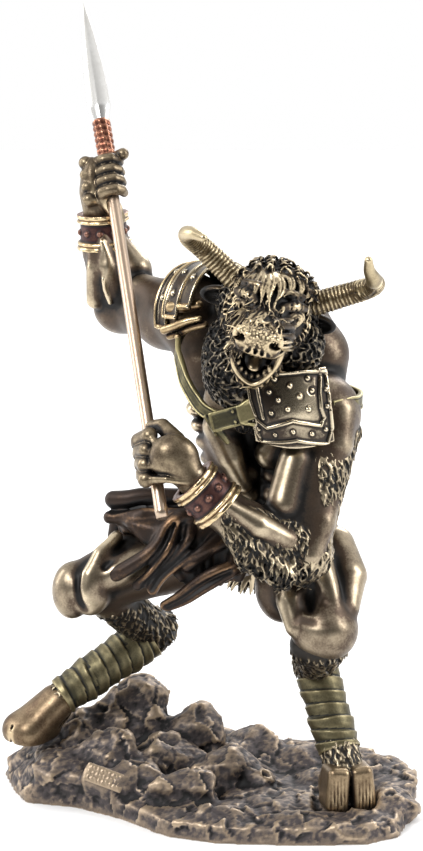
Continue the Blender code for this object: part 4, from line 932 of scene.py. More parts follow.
# The snarl: a fan of furrows from between the brows, and thick folds from the eyes to the nose
for fold in (((9.4, 19.4, 6.2), (6.4, 23.9, 7.7), (3.9, 28.6, 9.5), (1.4, 31.4, 10.1)),
             ((11.0, 20.0, 3.2), (8.7, 23.2, 5.2), (5.8, 28.1, 7.8), (3.0, 32.4, 9.3)),
             ((11.8, 22.4, 0.6), (10.2, 25.0, 2.8), (8.0, 28.6, 4.6), (5.8, 32.4, 7.2))):
    ridge(curve_through(fold, 8), [0.5, 1.0, 1.35, 1.5, 1.4, 1.2, 0.9, 0.5], 0.35)
for fold in (((6.8, 35.8, 6.2), (9.4, 30.4, 3.6), (11.6, 23.0, -0.8)), ((6.6, 36.0, 4.2), (9.6, 29.6, 1.0), (12.0, 21.0, -4.0)),
             ((7.6, 33.6, 2.4), (10.0, 27.6, -1.6), (12.4, 19.0, -7.0))):
    ridge(curve_through(fold, 7), [0.3, 0.55, 0.7, 0.75, 0.65, 0.5, 0.25], 0.25)

# The ears, a leaf-shaped hollow with a thin rim, hanging below the horns
for side, drop in ((-1, 0.0), (1, -1.0)):
    middle = on_head(18.6 * side, -3.4, -7.6 + drop)
    ear_out = unit(ACROSS * side - UPWARD * (0.10 if side < 0 else -0.05) + NOSEWARD * 0.1)
    ear_face = unit(NOSEWARD + UPWARD * 0.15)
    ear_up = np.cross(ear_out, ear_face)
    leaf = (ear_out, ear_face, ear_up)
    head.egg(middle, (7.4, 2.6, 4.0), leaf, blend=1.0)
    head.egg(middle + ear_face * 2.2, (5.9, 2.6, 2.9), leaf, blend=0.4, carve=True)
    head.limb([on_head(9.5 * side, -2, -4), middle - ear_out * 4.4], [3.6, 2.8], blend=2)
    for hair in (-1, 0, 1):
        head.limb([middle - ear_out * 4 + ear_up * hair * 1.4 + ear_face * 0.6,
                   middle + ear_out * 2.4 + ear_up * hair * 0.9 + ear_face * 0.5], [0.6, 0.25], blend=0.5)


def crown_hair(places):
    across, noseward, upward = in_head(places).T
    return (upward > 3.0) & (noseward < 3.0) & (noseward > -12)


def cheek_hair(places):
    across, noseward, upward = in_head(places).T
    clear_of_eye = (noseward < 9.0) | (upward < -3.5 - 0.35 * (noseward - 12))
    return (np.abs(across) > 6.0) & (upward < 3.5) & (noseward < 24) & clear_of_eye & (noseward > -13) & (
        np.abs(across) < 15.5)


def muzzle_hair(places):
    across, noseward, upward = in_head(places).T
    return (across < -4.5) & (noseward > 12.5) & (noseward < 33) & (upward > -6.0) & (upward < 8.4 + 0.3 * across)


def nose_hair(places):
    across, noseward, upward = in_head(places).T
    return (np.abs(across + 0.4) < 5.6) & (noseward > 19.5) & (noseward < 31.5) & (upward > 5.0)


def chin_hair(places):
    across, noseward, upward = in_head(places).T
    return (upward < -15.5) & (noseward < 28) & (noseward > 2)


# The fringe of hair on the brow, in locks: a left group combed down and a right group that curls inward
BROW_LOCKS = (
    ((-9.4, -1.1, 8.6), (-11.6, 2.6, 6.6), (-12.6, 6.8, 4.6), (-12.4, 10.6, 3.6)),
    ((-7.2, 0.8, 10.4), (-8.8, 5.1, 9.4), (-10.6, 9.6, 7.6), (-10.8, 13.4, 5.0)),
    ((-6.4, 1.2, 11.2), (-6.8, 7.4, 10.8), (-7.9, 13.0, 9.8), (-8.4, 17.4, 6.6)),
    ((-5.2, 1.6, 11.9), (-5.0, 8.8, 11.9), (-5.8, 14.5, 10.9), (-6.0, 20.2, 8.0)),
    ((-4.0, 2.4, 12.3), (-3.2, 9.2, 12.7), (-3.4, 15.6, 12.0), (-3.2, 20.8, 10.4)),
    ((-2.8, 3.0, 12.6), (-1.4, 9.8, 13.1), (-1.2, 16.4, 12.2), (-0.6, 21.8, 10.8)),
    ((-1.2, 4.1, 13.0), (1.8, 9.6, 13.2), (2.6, 15.2, 12.2), (1.4, 19.8, 11.0)),
    ((-0.2, 3.8, 13.1), (4.2, 5.4, 12.9), (5.8, 11.0, 12.6), (4.0, 15.9, 12.0)),
    ((1.3, 2.4, 13.2), (6.9, 2.6, 11.9), (9.4, 8.0, 11.0), (7.6, 13.2, 11.4)),
    ((2.7, 1.0, 12.8), (9.2, -0.2, 10.3), (12.0, 4.4, 8.2), (10.8, 10.8, 9.4)),
    ((4.5, -0.8, 12.0), (11.2, -2.6, 8.0), (13.4, 1.8, 5.6), (13.0, 7.6, 6.8)),
)


def brow_lock(places, strands=5):
    share = np.linspace(0, 1, 9)[:, None]
    line = curve_through(places, 9)
    out = line * (0.8, 0, 1) + (0, 0, 3)
    out /= np.linalg.norm(out, axis=1, keepdims=True)
    sideways = np.cross(np.gradient(line, axis=0), out)
    sideways /= np.linalg.norm(sideways, axis=1, keepdims=True)
    for i in range(strands):
        offset = (i - (strands - 1) / 2) * 0.62 * (0.9 + 0.5 * np.sin(pi * share) - 1.15 * share ** 2)
        rise = 0.2 + 0.9 * np.sin(pi * share) + 0.5 * (i % 2) * np.sin(pi * share)
        ridge(line + sideways * offset + out * rise, 0.46 - 0.26 * share[:, 0] ** 2, 0.15)


for places in BROW_LOCKS:
    brow_lock(places)
head_box = (-12, -66, 166), (58, 4, 228)
comb(head, *grown(head, *head_box, 1.55, 5, crown_hair), lambda p: NOSEWARD * 0.4 + ACROSS * sin(p[0] * 1.3), 2.5, 1.05, 41,
     wave=2.0, lift=1.5, strands=2)
comb(head, *grown(head, *head_box, 1.5, 6, cheek_hair), lambda p: ACROSS * sin(p[2] * 0.9) * 0.6 - UPWARD, 3.0, 1.05, 43,
     wave=2.0, lift=1.3, strands=2)
comb(head, *grown(head, *head_box, 1.25, 7, muzzle_hair), lambda p: NOSEWARD * 0.75 - UPWARD * 0.75, 5.0, 0.8, 45, wave=0.5,
     lift=0.2, strands=2)
comb(head, *grown(head, *head_box, 1.3, 9, nose_hair), lambda p: NOSEWARD + ACROSS * (float((p - SKULL) @ ACROSS) * 0.11 - 0.15),
     4.6, 0.85, 46, wave=0.8, lift=0.3, strands=2)
comb(head, *grown(head, *head_box, 1.5, 8, chin_hair), lambda p: NOSEWARD * -0.3 - UPWARD, 4.6, 1.1, 44, wave=1.6, strands=2)


def head_rub(places):
    """The nose pad is rubbed most, and the brow's locks and the curls round the face least."""
    across, noseward, upward = in_head(places).T
    pad = np.clip((noseward - 30) / 3, 0, 1) * np.clip((upward - 1.5) / 2, 0, 1)
    locks = np.exp(-((across / 13) ** 2 + ((noseward - 11) / 9) ** 2 + ((upward - 10) / 5) ** 2))
    curls = np.clip(-noseward / 4 + 1, 0, 1) * 0.5 + np.clip((-3 - upward) / 4, 0, 1) * (noseward < 24)
    return 0.55 * pad - 0.28 * locks - 0.65 * curls - 0.26


head.cast("bull_head", face_bronze, extra_edge=head_rub, keep=0.43)

# The horns. Ringed for two thirds of their length and smooth at the tip, cast with the head, and paler
# the higher they reach, up to a pale horn gold. Each sweeps out, forward and up.

HORN_GRAIN = 0.4
HORN_ROOT = 4.7
HORN_TIP = 1.5
RING_STEP = 1.6
RIGHT_HORN = ((-7, -3, -1.5), (-13.4, -4, 0.3), (-21.9, -7, 3.8), (-29.4, -8, 8), (-34.4, -4, 13.1),
              (-35.6, 2, 18.6), (-33.4, 7, 22.8), (-29.3, 11, 24.7))
LEFT_HORN = ((8, -3, -2.6), (15.1, -4, -1), (24.9, -7, 3.8), (31.4, -7, 8.6), (35.2, -2, 15.6),
             (33.8, 4, 21.9), (31.4, 7, 27), (30, 8.3, 32))

horn_bronze = patinated("cold cast bronze horn", "120e0a", "57472f", "d9c8a4", metal=(0.5, 0.92),
                        rough=(0.5, 0.3), mottle_mm=6.0, grit_mm=0.5, grit_height=0.05, wear=0.04)
horns = Clay((-22, -52, 182), (72, -4, 238), HORN_GRAIN)
for route in (RIGHT_HORN, LEFT_HORN):
    line = curve_through([on_head(*place) for place in route], 240)
    steps = np.linalg.norm(np.diff(line, axis=0), axis=1)
    gone = np.concatenate([[0], np.cumsum(steps)])
    share = gone / gone[-1]
    radii = HORN_ROOT - (HORN_ROOT - HORN_TIP) * share ** 2.4
    for i in range(0, 239, 12):
        horns.limb(line[i:i + 13], radii[i:i + 13], blend=0, rim=2.5)
    for turn in range(4):
        sideways = unit(np.cross(line[80] - line[26], UPWARD))
        lift = UPWARD * cos(turn * 0.9) + sideways * sin(turn * 0.9)
        groove = line[10:160] + lift * (radii[10:160] + 0.1)[:, None]
        horns.limb(groove[::20], 0.2, blend=0.3, carve=True, rim=0.6)
    draw = random.Random(29)
    for at in np.arange(2.0, 0.74 * gone[-1], RING_STEP):
        i = int(np.searchsorted(gone, at))
        ahead, sideways, upright = frame_along(line[i], line[i + 1])
        ring = [line[i] + (sideways * cos(t) + upright * sin(t)) * (radii[i] + 0.1) + ahead * draw.uniform(-0.25, 0.25)
                for t in np.linspace(0, 2 * pi, 19)]
        horns.limb(ring, 0.42, blend=0.25, carve=True, rim=0.6)
horns.cast("horns", horn_bronze, extra_edge=lambda places: 0.011 * (places[:, 2] - 206), keep=0.7)

# The mane. Short dense curls on the neck and chest to the right of the jaw, and on the left cheek,
# dark in the wash with bright tips.

MANE_GRAIN = 0.44

mane_bronze = patinated("cold cast bronze with black curls", "050404", "201a16", "b3a58c", metal=(0.4, 0.9),
                        rough=(0.55, 0.3), mottle_mm=6.0, grit_mm=0.6, grit_height=0.03, wear=-0.42)
mane = Clay((-16, -50, 148), (50, 6, 214), MANE_GRAIN)
mane.egg((9, -15, 178), (11.4, 13.6, 18.4), blend=3)
mane.egg((29.6, -17, 185.6), (11.0, 12.0, 11.4), blend=3)
mane.limb([(8, -24, 176), (13, -27, 160)], [8.6, 4.4], blend=3)
mane.limb([(14, -14, 200), (30, -14, 200)], [11, 10], blend=3)
roots, outs = grown(mane, (-12, -48, 150), (48, 2, 210), 1.35, 8, lambda p: p[:, 1] < -6)
comb(mane, roots, outs, lambda p: (0.5 * sin(p[2] * 0.5), -0.1, -1), 3.0, 0.95, 51, wave=2.2, lift=1.2, strands=2)
mane.cast("mane", mane_bronze, keep=0.34)

# The fur of the bent left arm: fine hair on the forearm, and long locks that hang from the elbow.

ARM_FUR_GRAIN = 0.42
FOREARM = np.array((-30.0, -11.0, 19.0)) / 37.2
FOREARM_TOP = unit(np.array((0, 0, 1.0)) - FOREARM * FOREARM[2])
arm_fur = Clay((-2, -58, 88), (66, 4, 172), ARM_FUR_GRAIN)
arm_fur.limb([(32, -29, 111), (20, -34, 115), (3, -40, 129)], [11.3, 10.8, 7.5], blend=2)
arm_fur.limb([(26, -40, 106), (13, -43.5, 115), (3, -44.5, 125)], [5.0, 5.2, 2.4], blend=1.5)
arm_fur.limb([(43, -10, 152), (38.6, -20, 136), (32, -29, 112)], [12.4, 11.7, 11.3], blend=4)


def furred(places):
    x, y, z = places.T
    over_axis = (places - np.array((32, -29, 111))) @ FOREARM_TOP
    forearm = (over_axis < 8.6 - 0.14 * (32 - x)) & (x < 37) & (z < 131) & (y < -26)
    outside = (x > 41.5 - 0.10 * (z - 120)) & (z < 153) & (y < 4)
    elbow = (z < 119) & (x > 24)
    return (forearm | outside | elbow) & (x > 3.5)


def arm_heading(root):
    away = root - np.array((27, -22, 124))
    low = np.clip((118 - root[2]) / 10, 0, 1)
    return (1 - low) * np.array((0.25, -0.15, -1.0)) + low * (unit(away) * 0.9 + np.array((0, 0, -0.7)))


roots, outs = grown(arm_fur, (-2, -58, 92), (62, 2, 156), 1.25, 6, furred)
longer = roots[:, 2] < 112
comb(arm_fur, roots[~longer], outs[~longer], arm_heading, 4.4, 0.82, 61, wave=1.1, lift=0.25, strands=2)
comb(arm_fur, roots[longer], outs[longer], arm_heading, 6.2, 1.15, 62, wave=1.7, lift=0.8, strands=2)
arm_fur.cast("arm_fur", hair_bronze, keep=0.46)

# The shoulder armour. Three bronze plates lap over the raised shoulder, each with a rolled gilt rim and
# round rivets, cast with the body.

ARM_AXIS = unit((-0.62, 0.77, -0.10))
SHOULDER = np.array((-3.0, 9.0, 190.0))
PLATE_FORWARD = unit(np.cross((0, 0, 1.0), ARM_AXIS))
PLATE_UP = np.cross(ARM_AXIS, PLATE_FORWARD)
PLATE_UP = PLATE_UP * np.sign(PLATE_UP[2])

plate_bronze = patinated("burnished bronze plate", "0d0b0a", "3c332b", "d8c9ad", metal=(0.5, 0.95),
                         rough=(0.4, 0.16), mottle_mm=9.0, grit_mm=0.9, grit_height=0.03, wear=-0.1)


def dome(across, along, radius, high):
    """A round rivet head: how high it stands at a distance from its middle."""
    return np.sqrt(np.maximum(radius ** 2 - across ** 2 - along ** 2, 0)) / radius * high


def shoulder_plate(name, start, width, forward_radius, up_radius, first, last, rivets, rim=1.5):
    def place(u, v):
        turn = np.radians(last + (first - last) * u)
        spread = 1 - 0.08 * v
        along = start + width * v
        ring = (np.sin(turn) * forward_radius * spread)[..., None] * PLATE_FORWARD
        ring = ring + (np.cos(turn) * up_radius * spread)[..., None] * PLATE_UP
        return SHOULDER + ARM_AXIS * along[..., None] + ring

    arc = radians(last - first) * forward_radius

    def height(u, v):
        from_edge = (1 - v) * width
        from_end = np.minimum(u, 1 - u) * arc
        lip = np.minimum(from_edge, from_end)
        found = np.where(lip < rim, 0.95 * np.sqrt(np.clip(1 - ((lip - rim / 2) / (rim / 2)) ** 2, 0, 1)), 0)
        found = found + 0.35 * np.exp(-((from_edge - rim * 1.9) / 0.5) ** 2)
        for at, along in rivets:
            found = np.maximum(found, dome((1 - u - at) * arc, (v - along) * width, 1.35, 1.15))
        return found

    return shell(name, [plate_bronze, gilt_rim], place, height, (120, 40), thickness=1.3,
                 zone=lambda u, v: (np.minimum((1 - v) * width, np.minimum(u, 1 - u) * arc) < rim).astype(int),
                 fine=0.22, broad=0.9)


shoulder_plate("shoulder_plate_inner", -13.5, 9.5, 17.6, 21.6, -70, 74, ((0.55, 0.4), (0.75, 0.4)))
shoulder_plate("shoulder_plate_middle", -6.5, 9.5, 17.8, 21.4, -75, 86, ((0.66, 0.42), (0.83, 0.42), (0.4, 0.42)))
shoulder_plate("shoulder_plate_outer", 0.4, 7.6, 17.6, 20.4, -75, 98, ((0.6, 0.4), (0.8, 0.4)))

armpit = Clay((-26, -22, 176), (6, 12, 202), 0.45)
lower_plate = curve_through([(-17.6, -6, 188.2), (-13.6, -9, 190.2), (-9.4, -10.5, 192.4), (-4.6, -11, 193.6)], 9)
armpit.limb(lower_plate, [1.7, 1.6, 1.5, 1.45, 1.4, 1.35, 1.3, 1.25, 1.2], blend=0.4)
armpit.limb(lower_plate + np.array((2.0, 1.5, -2.6)), 1.5, blend=0.5)
armpit.limb([(-15, -2, 196), (-10, -5, 197), (-5, -7, 198)], [2.2, 2.4, 2.0], blend=0.8)
armpit.egg((-12.6, -9.6, 186.4), (1.3, 1.3, 1.3), blend=0.3)
armpit.cast("armpit_plates", gilt_rim)

# The chest plate. A domed bronze plate hangs from the left shoulder, bordered with rolled rims and
# studded with rivets; its lower band has a scalloped edge.

CHEST_CORNERS = ((12.6, -28.5, 177.5), (41.5, -24.0, 178.5), (16.6, -32.0, 152.6), (45.0, -24.5, 150.6))
CHEST_WIDE = 30.0
CHEST_TALL = 26.0
FIELD_RIVETS = ((0.60, 0.00), (0.755, 0.10), (0.525, 0.17), (0.63, 0.31), (0.79, 0.26), (0.72, 0.49), (0.46, 0.47),
                (0.25, 0.53), (0.36, 0.35), (0.26, 0.25), (0.35, 0.08))
BAND_RIVETS = ((0.06, 0.79), (0.26, 0.83), (0.49, 0.77), (0.72, 0.82), (0.90, 0.80), (0.965, 0.28), (0.955, 0.5))
CHEST_RIMS = (
    ((0.0, 0.0), (0.012, 0.4), (0.06, 0.66), (0.02, 0.78), (0.08, 0.97)),
    ((0.115, 0.0), (0.125, 0.32), (0.14, 0.62)),
    ((0.06, 0.66), (0.17, 0.75), (0.33, 0.68), (0.50, 0.62), (0.68, 0.67), (0.84, 0.73), (0.90, 0.63)),
    ((0.08, 0.97), (0.3, 0.93), (0.52, 0.89), (0.70, 0.94), (0.90, 1.0), (0.985, 0.80)),
    ((0.90, 0.0), (0.915, 0.1), (0.88, 0.3), (0.875, 0.5), (0.90, 0.63)),
    ((0.985, 0.06), (0.99, 0.3), (0.99, 0.6), (0.985, 0.80)),
    ((0.0, 0.0), (0.3, 0.01), (0.7, 0.01), (0.985, 0.06)),
)


def on_chest(u, v):
    u, v = (1 - u)[..., None], v[..., None]
    corners = [np.array(corner) for corner in CHEST_CORNERS]
    place = (corners[0] * (1 - u) + corners[1] * u) * (1 - v) + (corners[2] * (1 - u) + corners[3] * u) * v
    bulge = 7.8 * np.sin(pi * (0.12 + 0.76 * u)) + 2.0 * np.sin(pi * v) - 1.8
    drop = 1.5 * np.sin(pi * u) * v
    return place - np.concatenate([np.zeros_like(bulge), bulge, drop], axis=-1)


def chest_relief(u, v):
    u = 1 - u
    found = 0.12 * np.sin(9 * u + 4 * v) * np.sin(7 * v)
    for line in CHEST_RIMS:
        nearest = np.full(u.shape, 99.0)
        for (a, b), (c, d) in zip(line, line[1:]):
            ax, ay, bx, by = a * CHEST_WIDE, b * CHEST_TALL, c * CHEST_WIDE, d * CHEST_TALL
            dx, dy = u * CHEST_WIDE - ax, v * CHEST_TALL - ay
            t = np.clip((dx * (bx - ax) + dy * (by - ay)) / ((bx - ax) ** 2 + (by - ay) ** 2), 0, 1)
            nearest = np.minimum(nearest, np.hypot(dx - t * (bx - ax), dy - t * (by - ay)))
        found = np.maximum(found, 0.9 * np.sqrt(np.clip(1 - (nearest / 0.78) ** 2, 0, 1)))
        found = found - 0.22 * np.exp(-((nearest - 1.25) / 0.4) ** 2)
    for rivets, radius in ((FIELD_RIVETS, 1.0), (BAND_RIVETS, 0.95)):
        for at, down in rivets:
            across, along = (u - at) * CHEST_WIDE, (v - down) * CHEST_TALL
            found = np.maximum(found, dome(across, along, radius, 0.95))
            found = found - 0.15 * np.exp(-((np.hypot(across, along) - 1.35) / 0.28) ** 2)
    return found


# A painted highlight: a bright patch across the middle of the plate, added to its edge mark.
def chest_painted_highlight(u, v):
    return 0.75 * np.exp(-(((1 - u) - 0.62) / 0.2) ** 2 - ((v - 0.42) / 0.36) ** 2)


shell("chest_plate", plate_bronze, on_chest, chest_relief, (136, 118), thickness=1.6, fine=0.2, broad=0.7, extra_edge=chest_painted_highlight)

# The straps. Verdigris bronze bands run from under the shoulder plates down to a riveted buckle, over
# the back, and round the left shoulder to the chest plate.

strap_leather = patinated("verdigris bronze strap", "12110c", "4c4834", "a89d74", metal=(0.35, 0.8),
                          rough=(0.55, 0.36), mottle_mm=5.0, grit_mm=0.7, grit_height=0.05, wear=-0.1)


def strap(name, places, width, core, count=90):
    """A flat band along some places, its face turned away from the line core(place)."""
    line = curve_through(places, count)
    ahead = np.gradient(line, axis=0)
    ahead /= np.linalg.norm(ahead, axis=1, keepdims=True)
    out = line - np.array([core(place) for place in line])
    out /= np.linalg.norm(out, axis=1, keepdims=True)
    sideways = np.cross(out, ahead)
    sideways /= np.linalg.norm(sideways, axis=1, keepdims=True)

    def place(u, v):
        index = np.round(u * (count - 1)).astype(int)
        return line[index] + sideways[index] * ((v - 0.5) * width)[..., None]

    def height(u, v):
        from_side = np.minimum(v, 1 - v) * width
        edge = 0.28 * np.exp(-((from_side - 0.35) / 0.3) ** 2)
        groove = -0.16 * np.exp(-((from_side - 1.0) / 0.22) ** 2)
        return edge + groove + 0.08 * np.sin(40 * u) * np.sin(3 * v + 7 * u)

    return shell(name, strap_leather, place, height, (count, 18), thickness=1.7, fine=0.14, broad=0.5)


def trunk_core(place):
    return np.array((18.0, 0.0, place[2]))


strap("strap_front", [(-9, 1, 190), (-11.8, -6.5, 186.2), (-12.5, -13.2, 181.5), (-11.6, -18.0, 178.1), (-9.9, -22.6, 172.9),
                      (-7.0, -26.2, 168.0), (-3.5, -29.6, 163.8), (1, -32, 161.5)], 4.8, lambda p: np.array((2.0, -10, p[2])))
strap("strap_back", [(-10, 2, 192), (-9, 14, 204), (6, 30.5, 192), (22, 33.8, 170), (38, 25.8, 150), (45, 9, 145)], 5.4,
      lambda p: np.array((16.0, 4, p[2] - 4)))
strap("strap_left_shoulder", [(45, -21.5, 162), (50.2, -17.6, 162.4), (54.6, -11.4, 161.6), (55.6, -2, 161.4), (50, 7, 162)],
      5.6, lambda p: np.array((42.0, -4, p[2])))

buckle = Clay((-8, -40, 150), (20, -24, 172), 0.36)
plate_right, plate_out = unit((10.4, -1.6, 3.2)), unit((-0.05, -0.98, 0.2))
plate_high = unit(np.cross(plate_out, plate_right))
plate_high = plate_high * np.sign(plate_high[2])
plate_axes = (plate_right, plate_out, plate_high)
middle = np.array((4.9, -33.0, 160.6))
buckle.block(middle, (5.4, 1.1, 3.7), plate_axes, blend=0.3, corner=0.5)
buckle.block(middle + plate_out * 1.2, (4.4, 0.5, 2.7), plate_axes, blend=0.2, carve=True, corner=0.3)
for side in (-1, 1):
    for level in (-1, 1):
        buckle.egg(middle + plate_right * side * 3.6 + plate_high * level * 1.9 + plate_out * 0.7, (0.7, 0.7, 0.7), blend=0.1)
buckle.limb([middle - plate_right * 6.6 + plate_high * 2.6, middle - plate_right * 5.6 - plate_high * 0.2,
             middle - plate_right * 4.6 - plate_high * 4.6], [1.0, 1.1, 0.8], blend=0.4)
buckle.limb([middle + plate_right * 5.6 + plate_high * 2.9, middle + plate_right * 10.2 + plate_high * 4.4], 0.7, blend=0.3)
buckle.limb([middle + plate_right * 5.6 - plate_high * 2.9, middle + plate_right * 9.8 - plate_high * 4.6], 0.7, blend=0.3)
buckle.block(middle + plate_right * 8.4 + plate_high * 0.4 - plate_out * 0.4, (3.4, 1.0, 3.4), plate_axes, blend=0.5)
buckle.limb([middle - plate_right * 3.2 - plate_high * 4, middle - plate_right * 1.4 - plate_high * 8.4 - plate_out * 1.5],
            [1.5, 1.0], blend=0.4)
buckle.cast("buckle", strap_leather)

# The kilt. Heavy cloth thrown over the right thigh, dragged into deep folds that fan out from the hip,
# cast with the body in bronze with a coppery rub on the fold crests.

KILT_GRAIN = 0.52
KILT_FOLDS = (
    (((5, -8, 117), (-8, -10, 117.6), (-21, -6.4, 118), (-28, -6.6, 116.8), (-34.6, -3.4, 114.9), (-38.6, -2, 114.6)), 2.7, 2.5),
    (((2, -2, 122), (-16, -2, 122.8), (-25.6, -2, 122.9), (-31.8, -1.6, 121.8), (-37.2, 0.6, 120.9)), 3.2, 3.4),
    (((0, -10, 119), (-10, -12, 118), (-17, -13.6, 114), (-19.3, -15.6, 109.5), (-23, -17.4, 105.1), (-28.5, -17.7, 101.2),
      (-34.6, -17.2, 97.3), (-37.6, -14.5, 95)), 2.4, 3.1),
    (((0, -11, 118), (-12, -11.4, 117.5), (-13.8, -13.9, 112.2), (-16.2, -17.7, 107), (-20.5, -18.1, 100.7), (-23.6, -19.1, 96.5),
      (-27.9, -18, 92.5)), 1.9, 2.1),
    (((2, -11, 117), (-7.1, -13, 114.8), (-8.3, -16.7, 110.5), (-10.8, -17.1, 106.8), (-15.1, -17, 101.4), (-19.3, -18.4, 97.8),
      (-23, -19.8, 93.2)), 2.1, 1.7),
    (((6, -12, 113), (-1, -17.6, 107.7), (-4.6, -18.9, 105.4), (-9.6, -17.4, 102.5), (-14.4, -18, 99.6), (-19.3, -19.2, 95.4),
      (-22, -20.2, 91)), 2.3, 1.8),
    (((9, -15, 106), (7.5, -19.5, 101.1), (1.4, -21, 99), (-4.7, -20.4, 95.2), (-9.6, -20.2, 91.1), (-13.3, -20.2, 88.2),
      (-17.8, -19.6, 85.2)), 2.2, 1.7),
    (((10, -15, 100), (8.4, -18.6, 98), (2.7, -19.8, 94.8), (-3.5, -20.6, 91.2), (-9.5, -20.2, 87.2), (-16, -19, 84.2)), 1.8, 1.5),
    (((8, -13, 112), (4, -16.5, 108), (-3, -17.4, 103.6), (-9, -17.6, 99)), 1.5, 1.2),
    (((11, -14, 108), (12, -15.5, 101), (10.5, -15, 94.5)), 2.2, 1.6),
    (((-30, 8, 119), (-36, 10, 112), (-38, 8, 101)), 2.4, 2.2),
    (((-16, 20, 117), (-30, 22, 108), (-33, 20, 98)), 2.4, 2.4),
    (((4, 28, 117), (-8, 33, 104), (-10, 35, 92)), 2.2, 2.4),
    (((18, 30, 116), (16, 38, 102), (14, 39, 88)), 2.2, 2.4),
    (((32, 27, 116), (36, 32, 104), (36, 33, 90)), 2.2, 2.2),
    (((42, 12, 116), (46, 16, 106), (46, 15, 98)), 2.0, 2.0),
)
KILT_WASH = "0d0908"
KILT_COAT = "372b24"
KILT_RUBBED = "9c7c5e"

kilt_cloth = patinated("coppery bronze cloth", KILT_WASH, KILT_COAT, KILT_RUBBED, metal=(0.4, 0.88), rough=(0.52, 0.34),
                       mottle_mm=6.0, grit_mm=0.9, grit_height=0.05, wear=-0.12)
kilt = Clay((-48, -28, 76), (56, 46, 130), KILT_GRAIN)
waist = [(14, -12, 116), (4, -8, 120), (0, 2, 121), (2, 16, 121), (14, 29, 119), (30, 30, 117), (41, 20, 116), (42, 8, 116)]
spread = [(10, -14, 106), (-10, -13, 111), (-30, -9, 114), (-33, 8, 115), (-18, 27, 108), (10, 36, 102), (36, 31, 104), (45, 17, 106)]
hem = [(12, -13, 96), (-6, -16, 90), (-15, -14, 101), (-30, -4, 110), (-37, 18, 96), (-12, 34, 90), (20, 38, 86), (43, 27, 92),
       (45, 14, 100)]
waist_line, spread_line, hem_line = (curve_through(edge, 60) for edge in (waist, spread, hem))
for i in range(60):
    out = unit(spread_line[i] - np.array((16, 10, spread_line[i][2])))
    wave = sin(i * 1.2) + 0.45 * sin(i * 0.55 + 1)
    kilt.limb([waist_line[i], spread_line[i] + out * 0.5 * wave, (spread_line[i] + hem_line[i]) / 2 + out * (1.2 + 0.8 * wave),
               hem_line[i] + out * 1.2 * wave], [1.5, 1.5, 1.4, 1.1], blend=1.6)
for places, start_radius, end_radius in KILT_FOLDS:
    line = curve_through(places, 14)
    kilt.limb(line, np.linspace(start_radius, end_radius, 14), blend=2.0)
for (first, *_), (second, *_) in zip(KILT_FOLDS[2:7], KILT_FOLDS[3:8]):
    line = (curve_through(first, 14) + curve_through(second, 14)) / 2 + np.array((0, -1.6, 0))
    kilt.limb(line[3:], 0.75, blend=1.4, carve=True)
kilt.limb(curve_through([(0, -8, 119.6), (-16, -7.4, 120.2), (-28, -5, 119.2), (-37.5, -3.4, 117.6)], 12), 0.9, blend=1.2, carve=True)
kilt.limb(curve_through([(8, -15, 116), (-2, -4, 122), (0, 18, 123), (22, 30, 120), (41, 20, 118), (42, 4, 117)], 30), 2.4, blend=1)
kilt.cast("kilt", kilt_cloth, keep=0.3)

# The tail. It hangs behind the left thigh and ends in a tuft of soft hair, cast with the body.

tail = Clay((2, 20, 62), (32, 48, 108), 0.5)
tail.limb([(20, 29, 100), (21, 36, 92), (17, 33, 84)], [4, 3, 3.2], blend=1)
draw = random.Random(23)
for i in range(20):
    turn = 2 * pi * i / 20
    out = np.array((cos(turn), sin(turn), 0))
    root = np.array((15.2, 32, 86.5)) + out * (1.0 + 1.4 * (i % 2))
    tuft(tail, root, unit(np.array((-0.32, 0, -0.9)) + out * 0.3), out, 12.0, 2.0, draw, strands=3, wave=0.5, lift=0.4)
tail.cast("tail", hair_bronze, extra_edge=lambda places: 0.35 * (places[:, 2] < 92))

# The spear. A plain satin rod runs through both fists; a copper binding is wound on above the upper
# one, under a leaf-shaped head of bright steel with a rib down each face.

ROD_RADIUS = 2.4
BINDING_FROM = 153.2
BINDING_LONG = 16.0
BINDING_OUT = 3.7
BLADE_LONG = 55.0
BLADE_HALF = 4.6
BLADE_THICK = 2.5

spear_start = LEFT_GRIP - SHAFT * 26
spear_across = unit(np.cross(SHAFT, (0, -1.0, 0)))
spear_deep = np.cross(SHAFT, spear_across)
rod_metal = patinated("satin bronze rod", "4c3a33", "86705f", "bda893", metal=(0.75, 0.9), rough=(0.42, 0.3), mottle_mm=16.0,
                      grit_mm=1.2, grit_height=0.01, wear=0.02)
binding_copper = patinated("copper wire binding", "22110d", "6a3f31", "bd8a70", metal=(0.7, 0.95), rough=(0.45, 0.3),
                           mottle_mm=5.0, grit_mm=0.6, grit_height=0.03, wear=-0.1)
blade_steel = patinated("bright steel", "8e8a82", "c9c6c0", "f0efec", metal=(0.95, 1.0), rough=(0.3, 0.2), mottle_mm=20.0,
                        grit_mm=1.5, grit_height=0.006, wear=0.1)


